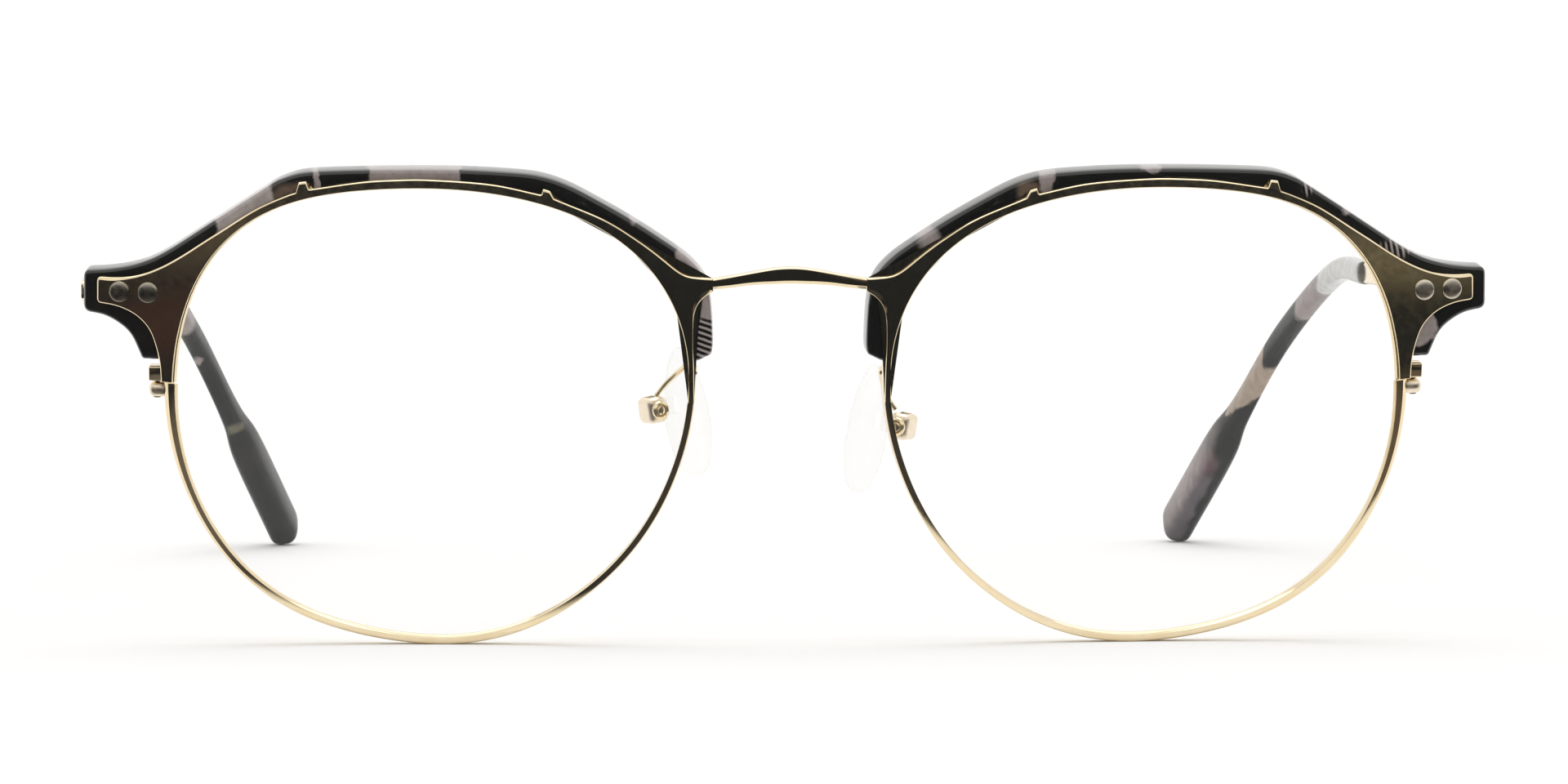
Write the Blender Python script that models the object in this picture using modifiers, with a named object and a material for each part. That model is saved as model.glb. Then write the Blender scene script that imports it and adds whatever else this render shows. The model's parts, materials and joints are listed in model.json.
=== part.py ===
"""Browline eyeglasses: metal eyewires under an acetate brow, with folding temples and rocking nose pads.

The wearer looks along -Y, so the temples run towards +Y, and the wearer's left is +X. Each half of the
front is drawn flat, x outwards from the nose, z up and y back towards the face. Its points are then domed
about the lens centre, and an empty turns the half back by WRAP_ANGLE. The left side is built, and the right
side is its mirror image.
"""
import math

import bmesh
import bpy
from mathutils import Matrix, Vector

MM = 0.001
OBJECT_NAME = "browline_eyeglasses"

# Driving dimensions, in millimetres and degrees.
LENS_X = 35.6
LENS_Z = 23.7
# Radius of the lens opening every 15 degrees, from the temporal side over the top to the nose side.
OPENING_RADII = (
    25.5, 25.85, 26.3, 25.8, 24.15, 22.7, 22.05, 22.45, 23.5, 24.95, 26.0, 26.0,
    25.3, 24.5, 24.0, 23.65, 23.45, 23.3, 23.05, 23.15, 23.85, 24.5, 24.95, 25.1,
)
DOME_RADIUS = 200.0
WRAP_ANGLE = 4.0
TILT_ANGLE = 7.0
GAP = 0.1

PLATE_THICKNESS = 0.55
EYEWIRE_FRONT = PLATE_THICKNESS + 0.05
EYEWIRE_DEPTH = 2.2
EYEWIRE_WALL = 0.65
GROOVE_DEPTH = 0.35
LENS_THICKNESS = 1.1
BROW_FRONT = PLATE_THICKNESS + 0.12
BROW_BACK = BROW_FRONT + 3.2
BROW_CHAMFER = 0.35
BROW_LIP = 0.1
RING_STEP = 6
LONGEST_CHORD = 4.0

SPLIT_Z = 26.05
LOCK_X = (61.95, 63.5)
LOCK_Z = (24.5, 27.6)
LOCK_Y = (EYEWIRE_FRONT + 0.1, EYEWIRE_FRONT + 2.0)
LOCK_GAP = 0.2
LOCK_HOLE_RADIUS = 0.36
LOCK_SCREW_RADIUS = 0.28
RIVET_X = (66.35, 63.5)
RIVET_Z = 35.05
RIVET_HEAD_RADIUS = 1.02
RIVET_SHANK_RADIUS = 0.55

HINGE_X = 67.2
HINGE_Y = 10.2
HINGE_Z = 35.1
KNUCKLE_RADIUS = 1.25
HINGE_HEIGHT = 3.6
MIDDLE_KNUCKLE = 1.34
HINGE_CLEARANCE = 0.08
HINGE_SCREW_RADIUS = 0.55
HINGE_HOLE_RADIUS = 0.65
HINGE_LEAF_X = 65.0
HINGE_LEAF_SIZE = (5.4, 3.4, 0.6)
HINGE_ARM_SIZE = (1.2, 2.6, HINGE_HEIGHT)

TEMPLE_FRONT = (69.3, 8.0, 35.0)
TEMPLE_FERRULE = (66.2, 80.0, 33.2)
TEMPLE_THICKNESS = 1.2
TEMPLE_HEIGHTS = (3.4, 2.2)
CORE_LENGTH = 14.0
CORE_SIZE = (1.1, 1.4)
TIP_PATH = (
    (66.2, 80.0, 33.2), (64.5, 95.0, 32.55), (60.65, 113.0, 24.9), (56.75, 122.4, 16.0),
    (54.9, 126.8, 11.6), (51.0, 137.2, 2.26),
)
TIP_THICKNESSES = (2.1, 2.1, 2.05, 2.2, 3.3, 3.4)
TIP_HEIGHTS = (2.5, 2.6, 2.8, 3.3, 4.9, 5.0)
TIP_END_LENGTH = 1.8

PAD_PIVOT = (11.75, 8.4, 21.3)
PAD_NORMAL = (-0.84, 0.52, 0.15)
PAD_SEMI_AXES = (3.5, 1.15, 6.6)
PAD_STANDOFF = 4.0
PAD_DROP = 1.0
PAD_ARM_RADIUS = 0.35
PAD_ARM_BEND = (
    (9.3, 2.0, 27.0), (9.25, 3.8, 27.3), (9.35, 5.6, 26.8), (9.7, 7.2, 25.5), (10.2, 8.0, 24.1),
    (10.95, 8.3, 22.99),
)
# The right pad is set higher and further out than a mirror image of the left one.
RIGHT_PAD_SHIFT = (-1.45, 0.0, 1.7)
RIGHT_PAD_ARM_BEND = (
    (-9.3, 2.0, 27.0), (-9.2, 3.8, 27.6), (-9.7, 5.6, 27.7), (-10.7, 7.2, 26.8), (-11.9, 8.1, 25.6),
    (-12.9, 8.35, 24.35),
)
PAD_BOX_SIZE = (2.6, 2.2, 2.6)
PAD_BOX_WALL = 0.62
PAD_TONGUE_HEIGHT = 1.7
PAD_HOLE_RADIUS = 0.45
PAD_SCREW_RADIUS = 0.35

# Outlines of one half, drawn flat.
BROW_TOP = (
    (8.7, 37.0), (10.2, 38.8), (12.2, 40.3), (16.2, 42.9), (20.3, 45.2), (22.3, 46.2), (24.3, 46.9),
    (26.8, 47.3), (32.4, 47.6), (38.4, 47.6), (44.6, 47.4), (48.4, 47.1), (50.7, 46.3), (54.7, 43.7),
    (58.9, 40.9), (61.0, 39.5), (63.1, 38.3), (65.1, 37.6), (67.2, 37.2), (69.2, 37.0),
)
BROW_END = ((69.8, 36.8), (70.0, 36.3), (70.0, 33.5), (69.8, 33.0))
BROW_UNDERSIDE = ((69.3, 32.75), (67.6, 32.4), (65.5, 31.0), (64.5, 29.1), (64.15, 28.3))
BROW_FOOT = (62.2, 28.3)
BROW_DROP = ((9.2, 28.7), (7.95, 29.3), (7.8, 30.2), (8.05, 34.6), (8.7, 37.0))

PLATE_LOCK_SIDE = ((62.25, 26.25), (62.3, 27.2), (62.4, 28.3), (62.75, 29.7), (63.4, 31.4), (64.8, 32.8))
PLATE_END = ((66.7, 33.6), (68.45, 33.85), (68.6, 34.1), (68.6, 36.2), (68.45, 36.45))
PLATE_TOP_OUTER = (
    (66.7, 36.4), (64.5, 36.7), (62.2, 37.6), (60.1, 38.8), (58.0, 40.2), (56.3, 41.3), (52.7, 43.6),
    (49.6, 45.0), (48.75, 45.3),
)
PLATE_OUTER_TAB = ((48.45, 46.6), (47.85, 46.65), (47.6, 45.6))
PLATE_TOP = ((47.6, 45.6), (42.4, 46.4), (38.9, 46.65), (35.6, 46.7), (29.6, 46.3), (24.6, 45.25))
PLATE_INNER_TAB = ((24.45, 46.1), (23.85, 45.9), (23.5, 44.95))
PLATE_TOP_INNER = (
    (23.5, 44.95), (18.4, 42.8), (15.2, 40.8), (13.3, 39.4), (10.7, 37.35), (9.0, 37.05), (7.75, 36.95),
)
PLATE_NOSE_SIDE = (
    (7.75, 35.65), (8.75, 35.05), (9.4, 34.2), (9.65, 33.1), (9.7, 30.4), (9.6, 27.8), (9.55, 24.6),
)

# Half of the bridge: x, lower z, upper z, and the y of its front.
BRIDGE_STATIONS = (
    (0.0, 36.45, 38.2, 1.9), (1.6, 36.4, 38.1, 1.95), (3.7, 36.25, 37.7, 2.2), (6.0, 35.9, 37.2, 2.6),
    (7.45, 35.7, 36.9, 2.95),
)
BRIDGE_DEPTH = 1.4


def rotation(degrees, axis):
    return Matrix.Rotation(math.radians(degrees), 4, axis)


FRONT_TURN = rotation(TILT_ANGLE, "X")
HALF_TURN = rotation(WRAP_ANGLE, "Z")
MIRROR = Matrix.Scale(-1, 4, (1, 0, 0))


def sag(x, z):
    """How far the domed front lies behind the flat drawing."""
    return ((x - LENS_X) ** 2 + (z - LENS_Z) ** 2) / (2 * DOME_RADIUS)


def opening_radius(degrees):
    """The lens opening's radius in a direction, on a smooth closed curve through OPENING_RADII."""
    step = 360 / len(OPENING_RADII)
    place = (degrees % 360) / step
    first = int(place)
    before, start, end, after = (OPENING_RADII[(first + k) % len(OPENING_RADII)] for k in (-1, 0, 1, 2))
    return catmull_rom(before, start, end, after, place - first)


def catmull_rom(before, start, end, after, t):
    curved = 2 * start + (end - before) * t
    curved += (2 * before - 5 * start + 4 * end - after) * t ** 2
    return (curved + (3 * start - before - 3 * end + after) * t ** 3) / 2


def smooth(points, steps=4):
    """Points on a smooth curve through the given points, which it keeps."""
    points = [Vector(p) for p in points]
    padded = [2 * points[0] - points[1], *points, 2 * points[-1] - points[-2]]
    curve = []
    for before, start, end, after in zip(padded, padded[1:], padded[2:], padded[3:]):
        curve += [catmull_rom(before, start, end, after, k / steps) for k in range(steps)]
    return [*curve, points[-1]]


def direction_of(point):
    return math.degrees(math.atan2(point[1] - LENS_Z, point[0] - LENS_X))


def inset(outline, distance):
    """The outline moved towards the lens, which is on its left, by a distance."""
    sides = []
    for start, end in zip(outline, outline[1:]):
        along = (end - start).normalized()
        sides.append(Vector((-along.y, along.x)))
    moved = []
    for point, before, after in zip(outline, [sides[0], *sides], [*sides, sides[-1]]):
        mitre = (before + after).normalized()
        moved.append(point + mitre * (distance / mitre.dot(after)))
    return moved


def in_drawing(degrees, radius, y):
    """A point of the flat drawing at a direction and distance from the lens centre."""
    turn = math.radians(degrees)
    return Vector((LENS_X + radius * math.cos(turn), y, LENS_Z + radius * math.sin(turn)))


def domed(point):
    return Vector((point.x, point.y + sag(point.x, point.z), point.z))


def on_front(degrees, radius, y):
    return domed(in_drawing(degrees, radius, y))


def material(name, colour, roughness, metallic, alpha=1.0):
    made = bpy.data.materials.new(name)
    made.use_nodes = True
    shader = made.node_tree.nodes["Principled BSDF"]
    shader.inputs["Base Color"].default_value = (*colour, 1)
    shader.inputs["Roughness"].default_value = roughness
    shader.inputs["Metallic"].default_value = metallic
    shader.inputs["Alpha"].default_value = alpha
    made.diffuse_color = (*colour, alpha)
    return made


def add(name, mesh, finish, parent=None, place=None, smooth_shaded=True):
    """An object in the part's collection. Its place is in its parent's frame, in metres."""
    obj = bpy.data.objects.new(name, mesh)
    parts.objects.link(obj)
    mesh.materials.clear()
    mesh.materials.append(finish)
    obj.parent = parent
    obj.matrix_basis = place or Matrix.Identity(4)
    if smooth_shaded:
        mesh.shade_smooth()
        mesh.set_sharp_from_angle(angle=math.radians(35))
    return obj


def empty(name, parent, place):
    made = bpy.data.objects.new(name, None)
    parts.objects.link(made)
    made.empty_display_size = 5 * MM
    made.parent = parent
    made.matrix_basis = place
    return made


def at(x, y, z, turn=None):
    """The matrix of a place in millimetres, with an optional turn."""
    return Matrix.Translation(Vector((x, y, z)) * MM) @ (turn or Matrix.Identity(4))


def mesh_from(bm, name):
    bmesh.ops.recalc_face_normals(bm, faces=bm.faces)
    mesh = bpy.data.meshes.new(name)
    bm.to_mesh(mesh)
    bm.free()
    return mesh


def loft(name, sections, closed=False):
    """A skin over sections of equal point counts, in millimetres. Closed joins the last to the first."""
    bm = bmesh.new()
    rings = [[bm.verts.new(Vector(p) * MM) for p in section] for section in sections]
    count = len(rings[0])
    for ring, following in zip(rings, rings[1:] + rings[:1] if closed else rings[1:]):
        for k in range(count):
            bm.faces.new((ring[k], ring[(k + 1) % count], following[(k + 1) % count], following[k]))
    if not closed:
        bm.faces.new(rings[0])
        bm.faces.new(rings[-1])
    return mesh_from(bm, name)


def stack(name, loops):
    """A domed skin over closed loops of the flat drawing, one behind the other, with its ends filled."""
    bm = bmesh.new()
    rings = [[bm.verts.new(point) for point in points] for points in loops]
    count = len(rings[0])
    for ring, following in zip(rings, rings[1:]):
        for k in range(count):
            bm.faces.new((ring[k], ring[(k + 1) % count], following[(k + 1) % count], following[k]))
    ends = [bm.faces.new(rings[0]), bm.faces.new(rings[-1])]
    chords = bmesh.ops.triangulate(bm, faces=ends, ngon_method="BEAUTY")["edges"]
    long_chords = [edge for edge in chords if edge.calc_length() > LONGEST_CHORD]
    bmesh.ops.subdivide_edges(bm, edges=long_chords, cuts=2)
    for vert in bm.verts:
        vert.co = domed(vert.co) * MM
    return mesh_from(bm, name)


def box(name, size, centre=(0, 0, 0)):
    bm = bmesh.new()
    bmesh.ops.create_cube(bm, size=1)
    bmesh.ops.scale(bm, vec=Vector(size) * MM, verts=bm.verts)
    bmesh.ops.translate(bm, vec=Vector(centre) * MM, verts=bm.verts)
    return mesh_from(bm, name)


def cylinder(name, radius, height, segments=20):
    bm = bmesh.new()
    bmesh.ops.create_cone(
        bm, cap_ends=True, segments=segments, radius1=radius * MM, radius2=radius * MM, depth=height * MM
    )
    return mesh_from(bm, name)


def turned(name, profile, finish, parent, place, steps=16):
    """A turned piece: its profile, from the top of the axis round to the bottom, with a Screw modifier."""
    bm = bmesh.new()
    points = [bm.verts.new((r * MM, 0, h * MM)) for r, h in profile]
    for a, b in zip(points, points[1:]):
        bm.edges.new((a, b))
    mesh = bpy.data.meshes.new(name)
    bm.to_mesh(mesh)
    bm.free()
    obj = add(name, mesh, finish, parent, place)
    screw = obj.modifiers.new("turn", "SCREW")
    screw.steps = steps
    screw.render_steps = steps
    screw.use_merge_vertices = True
    screw.merge_threshold = 0.000001
    return obj


def helper(name, mesh, parent, place):
    """A cutter or a shape to join, which isn't a piece of its own."""
    obj = bpy.data.objects.new(name, mesh)
    cutters.objects.link(obj)
    obj.parent = parent
    obj.matrix_basis = place
    obj.hide_render = True
    obj.display_type = "WIRE"
    return obj


def boolean(obj, operation, other):
    modifier = obj.modifiers.new(operation.lower() + "_" + other.name, "BOOLEAN")
    modifier.operation = operation
    modifier.solver = "EXACT"
    modifier.object = other


def surface_place(x, z, y=0.0):
    """A place on the domed front, with local Z pointing out of it, towards the viewer."""
    slope_x = (x - LENS_X) / DOME_RADIUS
    slope_z = (z - LENS_Z) / DOME_RADIUS
    outwards = Vector((slope_x, -1, slope_z)).normalized()
    turn = outwards.to_track_quat("Z", "Y").to_matrix().to_4x4()
    return at(x, y + sag(x, z), z, turn)


def make_eyewire(half):
    """A metal channel round the lens, open at the rim lock."""
    back = EYEWIRE_FRONT + EYEWIRE_DEPTH
    middle = (EYEWIRE_FRONT + back) / 2
    half_groove = GROOVE_DEPTH + 0.15
    profile = (
        (0, EYEWIRE_FRONT), (EYEWIRE_WALL, EYEWIRE_FRONT), (EYEWIRE_WALL, back), (0, back),
        (0, middle + half_groove), (GROOVE_DEPTH, middle), (0, middle - half_groove),
    )
    split = direction_of((LENS_X + opening_radius(5), SPLIT_Z))
    directions = [split + 0.25, *range(12, 360, RING_STEP), 360, 360 + split - 0.25]
    sections = []
    for degrees in directions:
        radius = opening_radius(degrees)
        sections.append([on_front(degrees, radius + out, y) for out, y in profile])
    add("eyewire_left", loft("eyewire", sections), gold, half)


def make_lens(half):
    """A domed demo lens whose bevelled edge sits in the eyewire's groove."""
    middle = EYEWIRE_FRONT + EYEWIRE_DEPTH / 2
    half_edge = LENS_THICKNESS / 2
    front = [(0.25, -half_edge), (0.6, -half_edge), (0.97, -half_edge)]
    back = [(0.97, half_edge), (0.6, half_edge), (0.25, half_edge)]
    sections = []
    for degrees in range(0, 360, RING_STEP):
        edge = opening_radius(degrees)
        section = [on_front(degrees, edge * share, middle + y) for share, y in front]
        section.append(on_front(degrees, edge - GAP, middle - half_edge))
        section.append(on_front(degrees, edge + GROOVE_DEPTH - GAP, middle))
        section.append(on_front(degrees, edge - GAP, middle + half_edge))
        section += [on_front(degrees, edge * share, middle + y) for share, y in back]
        sections.append(section)
    bm = bmesh.new()
    rings = [[bm.verts.new(p * MM) for p in section] for section in sections]
    for ring, following in zip(rings, rings[1:] + rings[:1]):
        for k in range(len(ring) - 1):
            bm.faces.new((ring[k], ring[k + 1], following[k + 1], following[k]))
    bm.faces.new([ring[0] for ring in rings])
    bm.faces.new([ring[-1] for ring in rings])
    add("lens_left", mesh_from(bm, "lens"), clear_lens, half)


def front_loop(outline, margin, beyond, outer_y, inner_y):
    """One closed loop of a front piece: its outline moved in by a margin, then back along the lens opening.

    The inner edge lies beyond the opening by the given distance and has the eyewire's sections.
    """
    edge = inset([Vector(p) for p in outline], margin)
    start, end = direction_of(edge[0]), direction_of(edge[-1])
    between = [k for k in range(0, 180, RING_STEP) if start + 0.5 < k < end - 0.5]
    directions = (end, *reversed(between), start)
    loop = [Vector((x, outer_y, z)) for x, z in edge]
    return loop + [in_drawing(k, opening_radius(k) + beyond, inner_y) for k in directions]


def make_trim_plate(half):
    """The stamped plate in front of the eyewire and the brow, with its two locating tabs."""
    outline = [*smooth(PLATE_LOCK_SIDE, 2), *PLATE_END, *smooth(PLATE_TOP_OUTER, 2)]
    outline += [*PLATE_OUTER_TAB[:-1], *smooth(PLATE_TOP, 2), *PLATE_INNER_TAB[:-1]]
    outline += [*smooth(PLATE_TOP_INNER, 2), *smooth(PLATE_NOSE_SIDE, 2)]
    mesh = stack("trim_plate", [front_loop(outline, 0, 0, y, y) for y in (0, PLATE_THICKNESS)])
    return add("trim_plate_left", mesh, gold, half, smooth_shaded=False)


def make_brow(half):
    """The acetate brow: a band round the eyewire's upper half, the end piece and the nose drop."""
    outline = [BROW_FOOT, *reversed(smooth(BROW_UNDERSIDE, 2)), *reversed(BROW_END)]
    outline += [*reversed(smooth(BROW_TOP, 2)), *reversed(BROW_DROP[:-1])]
    clear = EYEWIRE_WALL + GAP
    ledge = EYEWIRE_FRONT + EYEWIRE_DEPTH + GAP
    front, back = BROW_FRONT + BROW_CHAMFER, BROW_BACK - BROW_CHAMFER
    loops = [
        front_loop(outline, BROW_CHAMFER, clear, BROW_FRONT, BROW_FRONT),
        front_loop(outline, 0, clear, front, front),
        front_loop(outline, 0, clear, ledge, ledge),
        front_loop(outline, 0, BROW_LIP, ledge + GAP, ledge),
        front_loop(outline, 0, BROW_LIP, back, back),
        front_loop(outline, BROW_CHAMFER, BROW_LIP, BROW_BACK, BROW_BACK),
    ]
    return add("brow_piece_left", stack("brow", loops), acetate, half)


def make_rivets(half, plate, brow, hinge):
    """Two domed rivets through the plate, the brow and the front half of the hinge."""
    back = BROW_BACK + 0.75
    for name, x in zip(("outer", "inner"), RIVET_X):
        place = surface_place(x, RIVET_Z)
        dome = [
            (RIVET_HEAD_RADIUS * math.sin(math.radians(a)), 0.12 + 0.3 * math.cos(math.radians(a)))
            for a in (0, 30, 60, 90)
        ]
        profile = [*dome, (RIVET_HEAD_RADIUS, 0.05), (RIVET_SHANK_RADIUS, 0.05)]
        profile += [(RIVET_SHANK_RADIUS, -back), (0, -back)]
        turned(f"rivet_{name}_left", profile, steel, half, place)
        hole = cylinder("rivet_hole", RIVET_SHANK_RADIUS + GAP, 16)
        cutter = helper(f"rivet_hole_{name}", hole, half, place)
        for obj in (plate, brow, hinge):
            boolean(obj, "DIFFERENCE", cutter)


def make_rim_lock(half):
    """The two small blocks that close the eyewire round the lens, and their screw."""
    middle_x, middle_y = sum(LOCK_X) / 2, sum(LOCK_Y) / 2
    y = middle_y + sag(middle_x, SPLIT_Z)
    place = at(middle_x, y, SPLIT_Z)
    hole = helper("rim_lock_hole", cylinder("rim_lock_hole", LOCK_HOLE_RADIUS, 8, 12), half, place)
    low, high = LOCK_Z
    spans = {"upper": (SPLIT_Z + LOCK_GAP / 2, high), "lower": (low, SPLIT_Z - LOCK_GAP / 2)}
    for name, (bottom, top) in spans.items():
        size = (LOCK_X[1] - LOCK_X[0], LOCK_Y[1] - LOCK_Y[0], top - bottom)
        block_place = at(middle_x, y, (bottom + top) / 2)
        mesh = box("rim_lock", size)
        block = add(f"rim_lock_{name}_left", mesh, gold, half, block_place, smooth_shaded=False)
        boolean(block, "DIFFERENCE", hole)
    under = low - 0.07 - SPLIT_Z
    profile = [(0, 1.4), (LOCK_SCREW_RADIUS, 1.4), (LOCK_SCREW_RADIUS, under), (0.5, under)]
    profile += [(0.5, under - 0.28), (0.4, under - 0.38), (0, under - 0.38)]
    turned("rim_lock_screw_left", profile, steel, half, place, 12)


def make_bridge(front):
    """The metal bridge, a bar with chamfered corners from plate to plate."""
    stations = [(-x, low, high, y) for x, low, high, y in reversed(BRIDGE_STATIONS[1:])]
    sections = []
    for x, low, high, y in (*stations, *BRIDGE_STATIONS):
        cut = 0.3
        back = y + BRIDGE_DEPTH
        sections.append([
            (x, y, low + cut), (x, y, high - cut), (x, y + cut, high), (x, back - cut, high),
            (x, back, high - cut), (x, back, low + cut), (x, back - cut, low), (x, y + cut, low),
        ])
    add("bridge", loft("bridge", sections), gold, front)


def make_hinge_front(half, root, axis):
    """The hinge's fixed half: a leaf behind the end piece, an arm and two knuckles."""
    leaf_depth = BROW_BACK + GAP + HINGE_LEAF_SIZE[2] / 2
    leaf = box("hinge_leaf", HINGE_LEAF_SIZE, (0, 0, -leaf_depth))
    joined = helper("hinge_leaf", leaf, half, surface_place(HINGE_LEAF_X, RIVET_Z))
    arm = box("hinge_front", HINGE_ARM_SIZE, (-0.35, -HINGE_ARM_SIZE[1] / 2, 0))
    front = add("hinge_front_left", arm, gold, root, axis.matrix_basis, smooth_shaded=False)
    centre = Matrix.Identity(4)
    barrel = cylinder("hinge_barrel", KNUCKLE_RADIUS, HINGE_HEIGHT)
    slot = cylinder("hinge_slot", KNUCKLE_RADIUS + 0.35, MIDDLE_KNUCKLE + 2 * HINGE_CLEARANCE)
    boolean(front, "UNION", helper("hinge_barrel", barrel, axis, centre))
    boolean(front, "UNION", joined)
    boolean(front, "DIFFERENCE", helper("hinge_slot", slot, axis, centre))
    return front


def make_hinge_temple(axis):
    """The hinge's moving half: the middle knuckle and a pad against the temple."""
    knuckle = cylinder("hinge_temple", KNUCKLE_RADIUS, MIDDLE_KNUCKLE)
    moving = add("hinge_temple_left", knuckle, gold, axis, smooth_shaded=False)
    lean = math.atan2(TEMPLE_FRONT[0] - TEMPLE_FERRULE[0], TEMPLE_FERRULE[1] - TEMPLE_FRONT[1])
    turn = Matrix.Rotation(lean, 4, "Z")
    web = box("hinge_web", (0.8, 3.2, MIDDLE_KNUCKLE), (0.98, 1.5, 0))
    pad = box("hinge_pad", (0.7, 5.0, 2.4), (0.93, 4.6, 0))
    boolean(moving, "UNION", helper("hinge_web", web, axis, turn))
    boolean(moving, "UNION", helper("hinge_pad", pad, axis, turn))
    return moving


def make_hinge(half, root, axis):
    """A three-knuckle hinge and its screw."""
    front = make_hinge_front(half, root, axis)
    moving = make_hinge_temple(axis)
    hole = cylinder("hinge_pin_hole", HINGE_HOLE_RADIUS, 8, 16)
    cutter = helper("hinge_pin_hole", hole, axis, Matrix.Identity(4))
    for obj in (front, moving):
        boolean(obj, "DIFFERENCE", cutter)
    top = HINGE_HEIGHT / 2
    profile = [(0, top + 0.4), (0.8, top + 0.4), (0.95, top + 0.3), (0.95, top + 0.06)]
    profile += [(HINGE_SCREW_RADIUS, top + 0.06), (HINGE_SCREW_RADIUS, -top - 0.2), (0, -top - 0.2)]
    turned("hinge_screw_left", profile, steel, root, axis.matrix_basis)
    return front


def rounded(centre, side, height, thickness, tall, corners):
    """A section of the given corner points, as shares of half the thickness and half the height."""
    return [centre + side * (u * thickness / 2) + height * (v * tall / 2) for u, v in corners]


def frame_along(path, place):
    """The side and height directions of the temple where its path goes from one point to the next."""
    along = (path[min(place + 1, len(path) - 1)] - path[max(place - 1, 0)]).normalized()
    side = (Vector((1, 0, 0)) - along * along.x).normalized()
    return side, side.cross(along)


BAR_CORNERS = (
    (1, -0.8), (1, 0.8), (0.6, 1), (-0.6, 1), (-1, 0.8), (-1, -0.8), (-0.6, -1), (0.6, -1),
)
OVAL_CORNERS = tuple(
    (
        math.copysign(abs(math.cos(math.radians(a))) ** 0.65, math.cos(math.radians(a))),
        math.copysign(abs(math.sin(math.radians(a))) ** 0.65, math.sin(math.radians(a))),
    )
    for a in range(0, 360, 24)
)


def core_end():
    """Where the metal core ends inside the acetate tip."""
    start, following = Vector(TIP_PATH[0]), Vector(TIP_PATH[1])
    return start + (following - start).normalized() * CORE_LENGTH


def core_sections(points, spare):
    """The sections of the core in the tip, or of its socket with some spare room."""
    sections = []
    for k, point in enumerate(points):
        side, height = frame_along(points, k)
        thickness, tall = (size + 2 * spare for size in CORE_SIZE)
        sections.append(rounded(point, side, height, thickness, tall, BAR_CORNERS))
    return sections


def make_temple(axis):
    """The metal temple: a flat straight bar that ends in a thinner core inside the tip."""
    origin = Vector((HINGE_X, HINGE_Y, HINGE_Z))
    start, ferrule = Vector(TEMPLE_FRONT), Vector(TEMPLE_FERRULE)
    along = (ferrule - start).normalized()
    side = Vector((along.y, -along.x, 0)).normalized()
    height = side.cross(along)
    sections = []
    for point, tall in zip((start, ferrule - along * 0.15), TEMPLE_HEIGHTS):
        sections.append(rounded(point - origin, side, height, TEMPLE_THICKNESS, tall, BAR_CORNERS))
    core = [ferrule - along * 0.1 - origin, core_end() - origin]
    sections += core_sections(core, 0)
    add("temple_left", loft("temple", sections), gold, axis)


def make_tip(axis):
    """The acetate tip: it bends down behind the ear, widens to a paddle and has a socket for the core."""
    origin = Vector((HINGE_X, HINGE_Y, HINGE_Z))
    steps = 4
    path = [p - origin for p in smooth(TIP_PATH, steps)]
    sizes = smooth(tuple((a, b, 0.0) for a, b in zip(TIP_THICKNESSES, TIP_HEIGHTS)), steps)
    sections = []
    for k, point in enumerate(path):
        side, height = frame_along(path, k)
        sections.append(rounded(point, side, height, sizes[k].x, sizes[k].y, OVAL_CORNERS))
    along = (path[-1] - path[-2]).normalized()
    side, height = frame_along(path, len(path) - 1)
    for degrees in (30, 55, 75):
        out = TIP_END_LENGTH * math.sin(math.radians(degrees))
        share = math.cos(math.radians(degrees))
        size = sizes[-1] * share
        sections.append(rounded(path[-1] + along * out, side, height, size.x, size.y, OVAL_CORNERS))
    tip = add("temple_tip_left", loft("temple_tip", sections), acetate, axis)
    ends = [Vector(TEMPLE_FERRULE) - origin, core_end() - origin]
    reach = (ends[1] - ends[0]).normalized()
    socket = loft("tip_socket", core_sections([ends[0] - reach * 2, ends[1] + reach * 0.2], 0.15))
    boolean(tip, "DIFFERENCE", helper("tip_socket", socket, axis, Matrix.Identity(4)))


def make_pad_arm(root, side, bend):
    """The bent wire from the back of the eyewire to the pad box."""
    points = smooth(bend)
    curve = bpy.data.curves.new("pad_arm", "CURVE")
    curve.dimensions = "3D"
    curve.bevel_depth = PAD_ARM_RADIUS * MM
    curve.bevel_resolution = 2
    curve.use_fill_caps = True
    spline = curve.splines.new("POLY")
    spline.points.add(len(points) - 1)
    for point, place in zip(spline.points, points):
        point.co = (*(place * MM), 1)
    drawn = bpy.data.objects.new("pad_arm_path", curve)
    parts.objects.link(drawn)
    graph = bpy.context.evaluated_depsgraph_get()
    mesh = bpy.data.meshes.new_from_object(drawn.evaluated_get(graph))
    bpy.data.objects.remove(drawn)
    bm = bmesh.new()
    bm.from_mesh(mesh)
    bmesh.ops.remove_doubles(bm, verts=bm.verts, dist=0.001 * MM)
    add(f"pad_arm_{side}", mesh_from(bm, "pad_arm"), gold, root)


def pad_turn():
    """Local X along the pad's screw, Y towards the nose and Z up the pad."""
    towards_nose = Vector(PAD_NORMAL).normalized()
    screw = Vector((towards_nose.y, -towards_nose.x, 0)).normalized()
    return Matrix((screw, towards_nose, screw.cross(towards_nose))).transposed().to_4x4()


def make_pad_box(root, pivot, screw_hole):
    """The open box that holds the pad's tongue."""
    width, depth, height = PAD_BOX_SIZE
    mesh = box("pad_box", PAD_BOX_SIZE)
    holder = add("pad_box_left", mesh, gold, root, pivot.matrix_basis, smooth_shaded=False)
    slot = box("pad_slot", (width - 2 * PAD_BOX_WALL, depth, height + 1), (0, depth / 4, 0))
    boolean(holder, "DIFFERENCE", helper("pad_slot", slot, pivot, Matrix.Identity(4)))
    boolean(holder, "DIFFERENCE", screw_hole)


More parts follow.
